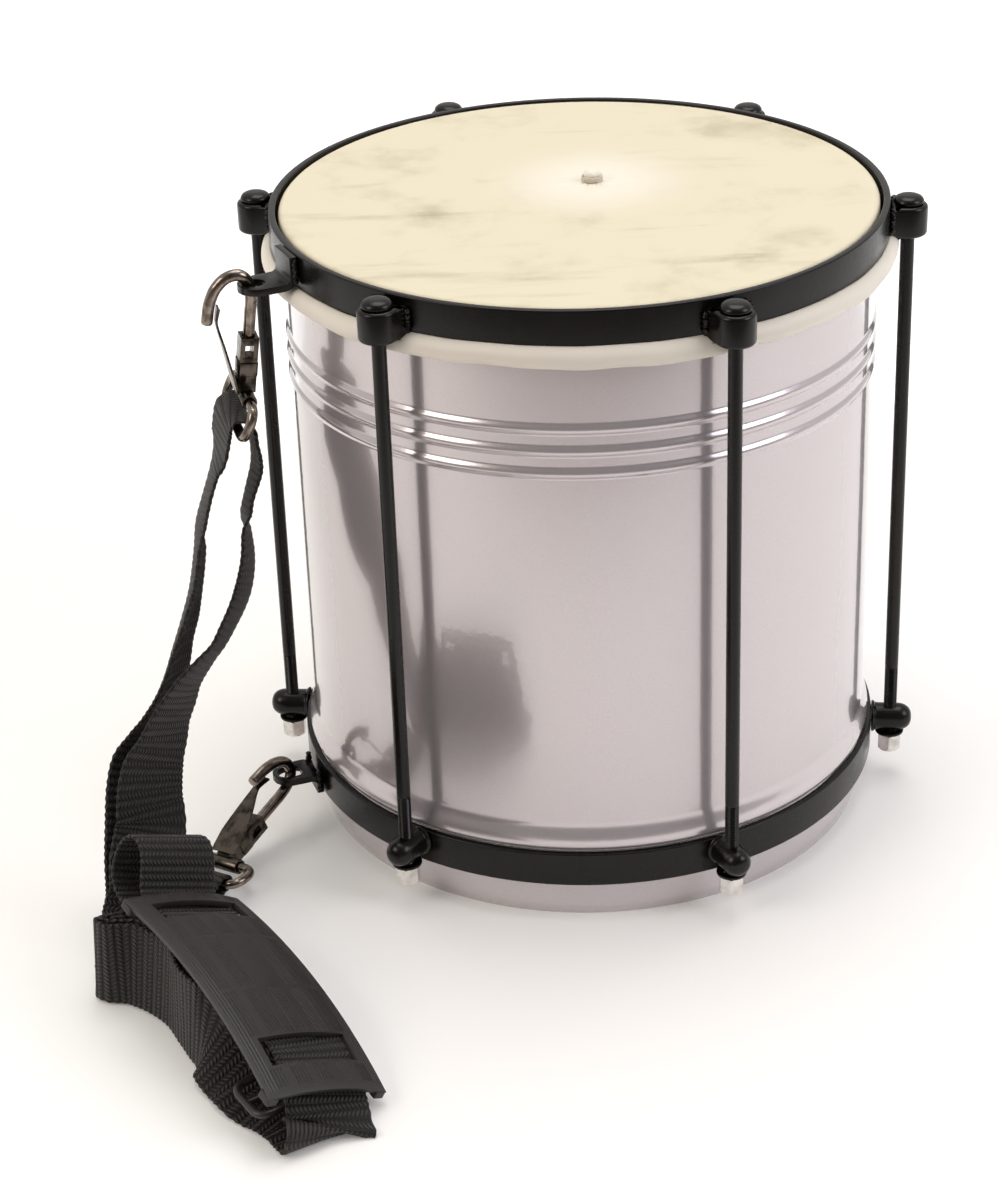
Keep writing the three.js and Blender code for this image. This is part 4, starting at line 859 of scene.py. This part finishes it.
def rod_grids():
    """A rod with a low domed head. Near its foot the radius follows a screw thread: a wave of the
    height and of the angle together, a millimetre from crest to crest."""
    angle = ring(28)
    seat = 280.2
    head = smooth_line([(3.0, seat), (6.1, seat), (6.5, seat + 0.5), (6.35, seat + 1.4),
                        (5.5, seat + 2.5), (3.9, seat + 3.25), (2, seat + 3.55), (0, seat + 3.6)], 4)
    z = np.concatenate([[13.6, 13.8], np.arange(14.2, 56, 0.25), [56.5, 58, 120, 200, 260, seat]])
    wave = 0.5 + 0.5 * np.cos(TAU * (z[:, None] / THREAD_PITCH - angle / TAU))
    cut = THREAD_DEPTH * wave * (eased(z, 13.4, 15) * (1 - eased(z, 54.5, 56)))[:, None]
    r = ROD_RADIUS - cut
    r[0] = 2.2
    shaft = np.stack([r * np.cos(angle), r * np.sin(angle), z[:, None] + 0 * angle], -1)
    foot = shaft[:1] * (0, 0, 1)
    grids = [np.concatenate([foot, shaft]), turned(head, 28)]
    return [g + (ROD_CIRCLE, 0, 0) for g in grids]

def washer_grids():
    """A flat ring: a softened oblong turned about the rod's line."""
    outline = softened([(3.5, 20.88), (6.5, 20.88), (6.5, 21.98), (3.5, 21.98)], 0.25, 3)
    return [turned(outline, 36, (ROD_CIRCLE, 0))]

def nut_grids():
    """A hexagon whose corners are cut by a cone at each end, drawn as one radius of angle and
    height: the smaller of the hexagon's and the cone's."""
    angle = ring(96)
    flats, low, high = 5.0, 11.98, 20.58
    hexagon = flats / np.cos((angle + math.pi / 6) % (math.pi / 3) - math.pi / 6)
    hexagon = np.minimum(hexagon, flats / math.cos(math.pi / 6) - 0.14)
    z = np.concatenate([np.linspace(low, low + 2.2, 8), np.linspace(low + 3, high - 1.2, 4),
                        np.linspace(high - 1, high, 5)])
    cone = np.minimum(4.55 + np.sqrt(np.clip((z - low) / 2.2, 0, 1)) * 1.3, 4.9 + (high - z) * 1.4)
    r = np.minimum(hexagon[None], cone[:, None])
    wall = np.stack([r * np.cos(angle), r * np.sin(angle), z[:, None] + 0 * angle], -1)
    bore = np.array([3.52 * np.stack([np.cos(angle), np.sin(angle), 0 * angle], -1) + (0, 0, h)
                     for h in (high, low)])
    return [np.concatenate([wall, bore, wall[:1]]) + (ROD_CIRCLE, 0, 0)]

# %% Six stations
MAKERS = [("lug", ear_grids, enamel, "black_enamel", "top_lug", 45),
          ("stud", stud_grids, enamel, "black_enamel", "bottom_lug", 50),
          ("rod", rod_grids, enamel, "black_enamel", "tension_rod", 50),
          ("washer_plate", washer_grids, enamel, "black_enamel", "washer", 40),
          ("nut", nut_grids, zinc, "bright_zinc", "hex_nut", 24)]
for number in range(1, 7):
    for name, maker, look, slot, node, sharp in MAKERS:
        grids = [about_axis(g, FIRST_ROD + 60 * (number - 1)) for g in maker()]
        piece = skin_over(f"{name}_{number}", grids, look, sharp)
        body = f"nut_{number}" if name == "nut" else "drum"
        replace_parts(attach(piece, body), f"{node}_{number}")
print("stations made:", number)

# %% [markdown]
# ## Strap tabs and hooks
#
# The tabs are strip bent to a right angle and welded on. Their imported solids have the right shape,
# so a copy of each is merged and its edges are rounded with a Bevel modifier.

# %% Copies with rounded edges
def eased_copy(name, node, look, slot, body="drum", edge=0.5):
    """A copy of a solid with its flat faces joined again and its edges rounded."""
    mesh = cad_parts[node].data.copy()
    mesh.name = name
    built = bmesh.new()
    built.from_mesh(mesh)
    bmesh.ops.remove_doubles(built, verts=built.verts, dist=2e-6)
    bmesh.ops.dissolve_limit(built, angle_limit=math.radians(1), verts=built.verts, edges=built.edges)
    built.to_mesh(mesh)
    built.free()
    mesh.materials.clear()
    mesh.materials.append(look)
    mesh.polygons.foreach_set("material_index", [0] * len(mesh.polygons))
    mesh.shade_smooth()
    piece = linked(name, mesh)
    modified(piece, "soft_edges", "BEVEL", width=edge * MM, segments=3, limit_method="ANGLE",
             angle_limit=math.radians(32), harden_normals=True)
    return done(piece, body, slot, node)

eased_copy("top_tab", "top_strap_tab", enamel, "black_enamel", edge=0.7)
eased_copy("bottom_tab", "bottom_strap_tab", enamel, "black_enamel", edge=0.7)

TOP_TAB, BOTTOM_TAB = 204.4, 198.7
welds = [about_axis(weld_bead([(133.6, side * 8.7, z) for z in np.linspace(*span, 5)], 1.3, seed), turn)
         for turn, side, span, seed in (
             (TOP_TAB, 1, (282, 270.5), 1), (TOP_TAB, -1, (282, 270.5), 2.4),
             (BOTTOM_TAB, 1, (31.6, 19.8), 3.1), (BOTTOM_TAB, -1, (31.6, 19.8), 4.6))]
done(skin_over("tab_welds", welds, enamel, 80), "drum", "black_enamel")

# %% [markdown]
# Each snap hook is a bent wire in a folded sleeve, with a barrel across its foot that holds the
# strap's ring and a leaf spring as a gate. The wire, ring and gate are sections swept along lines,
# in a frame of the hook's own, so both hooks come from the same few numbers. Only the gate rides on
# a moving body. Bones could swing it, but the frame already moves what rides on it.

# %% Hooks
HOOKS = {
    "upper": ((-143.1, -57.1, 221.6), (-0.951, -0.291, 0.107), (0.137, -0.084, 0.987), (-0.45, 0.06, -1)),
    "lower": ((-166, -86.9, 7.4), (-0.291, -0.158, 0.944), (0.558, 0.773, 0.302), (-0.6, -0.79, -0.03))}
WIRE_PATH = [(0, 23.9), (0, 30), (0, 38), (0, 44), (1.3, 50.4), (5.3, 54.6), (10.6, 53.8),
             (15, 49.2), (17.3, 42.4), (18, 33)]
GATE_PATH = [(4.6, 2.2), (5.3, 4.4), (7.3, 11), (10.9, 22.8), (14.2, 33.6), (14.2, 36), (13.8, 40.4)]
GATE_HALF = [6.4, 7.0, 7.0, 4.5, 1.7, 1.9, 2.5]
RING_LENGTH, RING_HEIGHT, RING_WIRE, RING_CORNER = 42, 18, 2.15, 6.2

def square_frame(towards, along):
    """Three directions at right angles: nearly towards, exactly along, and across both."""
    y = unit(np.array(along, float))
    x = np.array(towards, float)
    x = unit(x - (x @ y) * y)
    return x, y, np.cross(x, y)

def wire_grid():
    """The hook's wire, with a slight chamfer at the cut end."""
    _, line = evenly(smooth_line([(*p, 0) for p in WIRE_PATH], 12), 0.7)
    grow = np.ones(len(line))
    grow[[0, -1]] = 0.86
    return sweep(line, round_section(2.5, 22), (0, 0, 1), grow)

def gate_grid():
    """The gate: a leaf that tapers to a neck and widens again into a cup at its tip."""
    path = smooth_line([(*p, 0) for p in GATE_PATH], 14)
    half = smooth_line(GATE_HALF, 14)[:, 0]
    wide = np.linspace(-1, 1, 9)
    dish = -0.5 * wide ** 2 * half[:, None] / 7
    top = np.stack([half[:, None] * wide, 0.45 + dish], -1)
    under = np.stack([half[:, None] * wide, -0.45 + dish], -1)[:, ::-1]
    section = np.concatenate([top, under, top[:, :1]], 1)
    return sweep(path, section, (0, 0, 1))

def ring_grid():
    """A rounded oblong of wire, whose long side lies along Z through the barrel."""
    half, drop = RING_LENGTH / 2 - RING_WIRE, RING_HEIGHT - 2 * RING_WIRE
    outline = softened([(-half, 0), (-half, -drop), (half, -drop), (half, 0)], RING_CORNER, 10)
    _, line = evenly(np.column_stack([0 * outline[:, 0], outline[:, 1], outline[:, 0]]), 0.9)
    return sweep(line, round_section(RING_WIRE, 18), (1, 0, 0), closed=True)

def collar_grid():
    """A band of sheet folded round the sleeve below its window."""
    half = 4.15
    outline = softened([(-half, -half), (half, -half), (half, half), (-half, half)], 1.1, 4)
    grid = block(outline, rounded_layers(9.2, 15.6, 0.35, 4))
    return grid[..., [0, 2, 1]] * (1, 1, -1)

for label, (place, towards, along, hangs) in HOOKS.items():
    x, y, z = square_frame(towards, along)
    hang = np.array(hangs, float)
    hang = unit(hang - (hang @ z) * z)
    ring_axes = (np.cross(-hang, z), -hang, z)
    swept = [("hook_bent_wire", wire_grid(), (x, y, z), nickel, 50, "drum", "hook_wire"),
             ("ring_wire", ring_grid(), ring_axes, nickel, 60, "drum", "strap_ring"),
             ("hook_collar", collar_grid(), (x, y, z), black_nickel, 40, "drum", None),
             ("gate_leaf", gate_grid(), (x, y, z), black_nickel, 40, f"{label}_gate", "hook_gate")]
    for name, grid, axes, look, sharp, body, node in swept:
        piece = skin_over(f"{label}_{name}", [placed(grid, place, *axes)], look, sharp)
        done(piece, body, "nickel", *([f"{label}_{node}"] if node else []))
    eased_copy(f"{label}_hook_sleeve", f"{label}_hook_body", black_nickel, "nickel", edge=0.4)

# %% [markdown]
# ## Pad and slider
#
# The pad is moulded with groups of fine grooves in five columns, plain in its middle, and has two
# slots for the webbing. Its top is one grid in the pad's own frame: the height is the arch and the
# crown, less the grooves. The cells in the slots are left out, and Solidify gives it its thickness.
# A Boolean could cut the slots, but would leave long thin faces beside them.

# %% Shoulder pad
SLOT_HALF = 21.2
SLOTS = ((-53.2, -41.6), (33.9, 47.5))
GROOVE_ROWS = ((-59.6, -54.6, 5), (-40, -26.5, 5), (-24.5, 6.6, 4), (8.6, 32.4, 5), (49.2, 57.6, 5))
GROOVE_PITCH, GROOVE_DEPTH, COLUMN_PITCH, COLUMN_HALF = 1.45, 0.5, 10.7, 3.7
BORDER_MIDDLE, BORDER_HALF, BORDER_END, BORDER_DEPTH = 25.8, 2.4, 59, 0.16

def groove_depth(x, y):
    """Depth of the grooves at each place: a squared cosine of the distance across, in groups, and a
    shallower cosine along both borders."""
    column = np.round(y / COLUMN_PITCH)
    beside = y - column * COLUMN_PITCH
    group = (np.abs(beside) < COLUMN_HALF) & (np.abs(column) <= 2)
    wave = np.clip(np.cos(TAU * beside / GROOVE_PITCH), 0, 1) ** 2
    depth = np.zeros(np.broadcast(x, y).shape)
    for low, high, columns in GROOVE_ROWS:
        inside = (x > low) & (x < high) & group & ((columns == 5) | (column != 0))
        depth = np.where(inside, GROOVE_DEPTH * wave, depth)
    aside = np.abs(y) - BORDER_MIDDLE
    border = (np.abs(aside) < BORDER_HALF) & (np.abs(x) < BORDER_END)
    return np.where(border, BORDER_DEPTH * np.clip(np.cos(TAU * aside / GROOVE_PITCH), 0, 1), depth)

def pad_height(x, y):
    """The pad's middle surface: an arch along it and a crown across it."""
    b, a = x / (PAD_LENGTH / 2), y / (PAD_WIDTH / 2)
    return PAD_ARCH * (1 - b * b) - PAD_ARCH / 2 + PAD_CROWN * (1 - a * a)

def make_pad():
    """The top surface without the slots, and a wall under it."""
    marks = [v for slot in SLOTS for v in slot] + [v + s for low, high, _ in GROOVE_ROWS
                                                   for v in (low, high) for s in (-0.15, 0.15)]
    x = np.unique(np.round(np.concatenate([np.linspace(-1, 1, 62) * PAD_LENGTH / 2, marks]), 3))
    y = np.unique(np.round(np.concatenate([
        np.linspace(-1, 1, 281) * PAD_WIDTH / 2, [-SLOT_HALF, SLOT_HALF]]), 3))
    edge = np.minimum(PAD_LENGTH / 2 - np.abs(x[:, None]), PAD_WIDTH / 2 - np.abs(y[None]))
    z = pad_height(x[:, None], y[None]) + PAD_THICKNESS / 2
    z = z - groove_depth(x[:, None], y[None]) - 0.5 * (1 - eased(edge, 0, 1.1))
    grid = np.stack(np.broadcast_arrays(x[:, None], y[None], z), -1)
    centre_x, centre_y = (x[1:] + x[:-1]) / 2, (y[1:] + y[:-1]) / 2
    keep = np.ones((len(x) - 1, len(y) - 1), bool)
    for low, high in SLOTS:
        keep &= ~((centre_x[:, None] > low) & (centre_x[:, None] < high)
                  & (np.abs(centre_y[None]) < SLOT_HALF))
    grid = placed(grid, PAD_PLACE, *PAD_AXES)
    piece = skin_over("moulded_shoulder_pad", [grid], rubber, 40, [(x, y)], keep=keep.ravel())
    if np.dot(piece.data.polygons[0].normal, PAD_AXES[2]) < 0:
        piece.data.flip_normals()
    modified(piece, "pad_wall", "SOLIDIFY", thickness=PAD_THICKNESS * 0.96 * MM, offset=-1)
    modified(piece, "pad_rim", "BEVEL", width=0.25 * MM, segments=2, limit_method="ANGLE",
             angle_limit=math.radians(60))
    return done(piece, "drum", "pad_rubber", "shoulder_pad")

FOOT_LENGTH, FOOT_WIDTH, FOOT_LOW, FOOT_HIGH = 7, 5, -3.9, -0.4

def make_feet():
    """Four rounded studs under the corners of the pad."""
    x, y = FOOT_LENGTH / 2, FOOT_WIDTH / 2
    outline = softened([(-x, -y), (x, -y), (x, y), (-x, y)], 0.9, 4)
    grids = []
    for end, side in ((-1, -1), (-1, 1), (1, -1), (1, 1)):
        at = np.array([end * (PAD_LENGTH / 2 - x), side * (PAD_WIDTH / 2 - y)])
        top = pad_height(*at)
        grid = block(outline, rounded_layers(top + FOOT_LOW, top + FOOT_HIGH, 0.5, 4))
        grids.append(placed(grid + (*at, 0), PAD_PLACE, *PAD_AXES))
    done(skin_over("pad_feet", grids, rubber, 40), "drum", "pad_rubber")

shoulder_pad = make_pad()
make_feet()

# %% [markdown]
# The slider is a moulded frame with a bar across its middle, and the webbing is doubled back
# through it. A block with two holes and a Bevel modifier could do, but an oval section swept round
# an oblong gives the soft edges of a moulding at once.

# %% Slider
SLIDER_PLACE = (-132.2, -252.6, 11.7)
SLIDER_ACROSS, SLIDER_ALONG = (0.86, 0.48, 0.04), (0.53, -0.82, -0.05)
SLIDER_LENGTH, SLIDER_DEPTH, SLIDER_RAIL, SLIDER_THICKNESS = 32, 25, 3.6, 3

def make_slider():
    """An oval section swept round an oblong with well-rounded corners, and a bar between its ends."""
    half, side = (SLIDER_LENGTH - SLIDER_RAIL) / 2, (SLIDER_DEPTH - SLIDER_RAIL) / 2
    outline = softened([(-half, -side), (half, -side), (half, side), (-half, side)], 6, 12)
    _, line = evenly(np.column_stack([outline, 0 * outline[:, 0]]), 0.6)
    oval = round_section(0.5, 20) * (SLIDER_THICKNESS, SLIDER_RAIL)
    bar = np.linspace((-half, 0, 0), (half, 0, 0), 30)
    x, y, z = square_frame(SLIDER_ACROSS, SLIDER_ALONG)
    grids = [placed(sweep(line, oval, (0, 0, 1), closed=True), SLIDER_PLACE, x, y, z),
             placed(sweep(bar, oval, (0, 0, 1)), SLIDER_PLACE, x, y, z)]
    return done(skin_over("strap_adjuster", grids, nylon, 50), "drum", "slider_plastic", "strap_slider")

slider = make_slider()

# %% [markdown]

# %% [markdown]
# ## Studio
#
# The drum stands on a pale table, and behind the table's far edge everything is white. The light is
# soft: a bright room that is darker behind the camera, and three large lamps. The darker side is
# what keeps the black parts black and gives the shell its grey middle.

# %% Floor and backdrop
TABLE_EDGE = 397

def make_flat(name, corners, colour, rough, painted_glow):
    """A flat piece of the studio, of paper that is greyer in the foreground as painted shade, and
    that glows a little away from the foreground as painted light.
    """
    mesh = bpy.data.meshes.new(name)
    mesh.from_pydata([tuple(v * MM for v in c) for c in corners], [], [(0, 1, 2, 3)])
    look, add, where = new_look(name + "_paper")
    depth = add("SeparateXYZ", [where], output=1)
    # Painted shade and painted light: towards the camera the paper is greyed, and away from it the paper
    # glows.
    behind = add("MapRange", [depth, -0.85, -0.34], **SOFT)
    mesh.materials.append(finished(look, add, {
        "Base Color": add("Mix", [behind, "#9a938f", colour], **COLOUR), "Roughness": rough,
        "Emission Color": colour, "Emission Strength": add("Math MULTIPLY", [behind, painted_glow])}))
    linked(name, mesh)

make_flat("table", [(-4000, -4000, 0), (4000, -4000, 0), (4000, TABLE_EDGE, 0), (-4000, TABLE_EDGE, 0)],
          "#f6f4f1", 0.7, 0.13)
make_flat("backdrop", [(-9000, -9000, -2), (9000, -9000, -2), (9000, 9000, -2), (-9000, 9000, -2)],
          "#ffffff", 0.8, 0.3)

# %% Room and lamps
ROOM_BRIGHT, ROOM_DARK = 0.72, 0.16
DRUM_MIDDLE = Vector((0, 0, 0.14))

def make_room():
    """Light from every side, darker from behind the camera: a ramp on the direction's Y."""
    world = bpy.data.worlds.new("room")
    bpy.context.scene.world = world
    world.use_nodes = True
    world.node_tree.nodes.clear()
    add = partial(add_node, world.node_tree)
    way = add("SeparateXYZ", [add("TexCoord", output="Generated")], output=1)
    front = add("MapRange", [way, -0.75, 0.1, ROOM_DARK, ROOM_BRIGHT])
    add("OutputWorld", {"Surface": add("Background", {"Color": "#fdfbf8", "Strength": front})})

def make_lamp(name, place, power, size, colour="#ffffff"):
    """A square soft lamp that faces the drum."""
    data = bpy.data.lights.new(name, "AREA")
    data.energy, data.size, data.color = power, size, linear(colour)[:3]
    lamp = linked(name, data)
    lamp.location = place
    lamp.rotation_euler = (DRUM_MIDDLE - lamp.location).to_track_quat("-Z", "Y").to_euler()

make_room()
make_lamp("left_softbox", (-1.5, -0.9, 1.3), 11, 0.9, "#fff4e8")
make_lamp("right_softbox", (1.5, -0.7, 1.2), 11, 0.9, "#f6f4ff")
make_lamp("top_softbox", (0.1, 0.3, 1.9), 15, 1.2)
print("lamps:", len(bpy.data.lights))
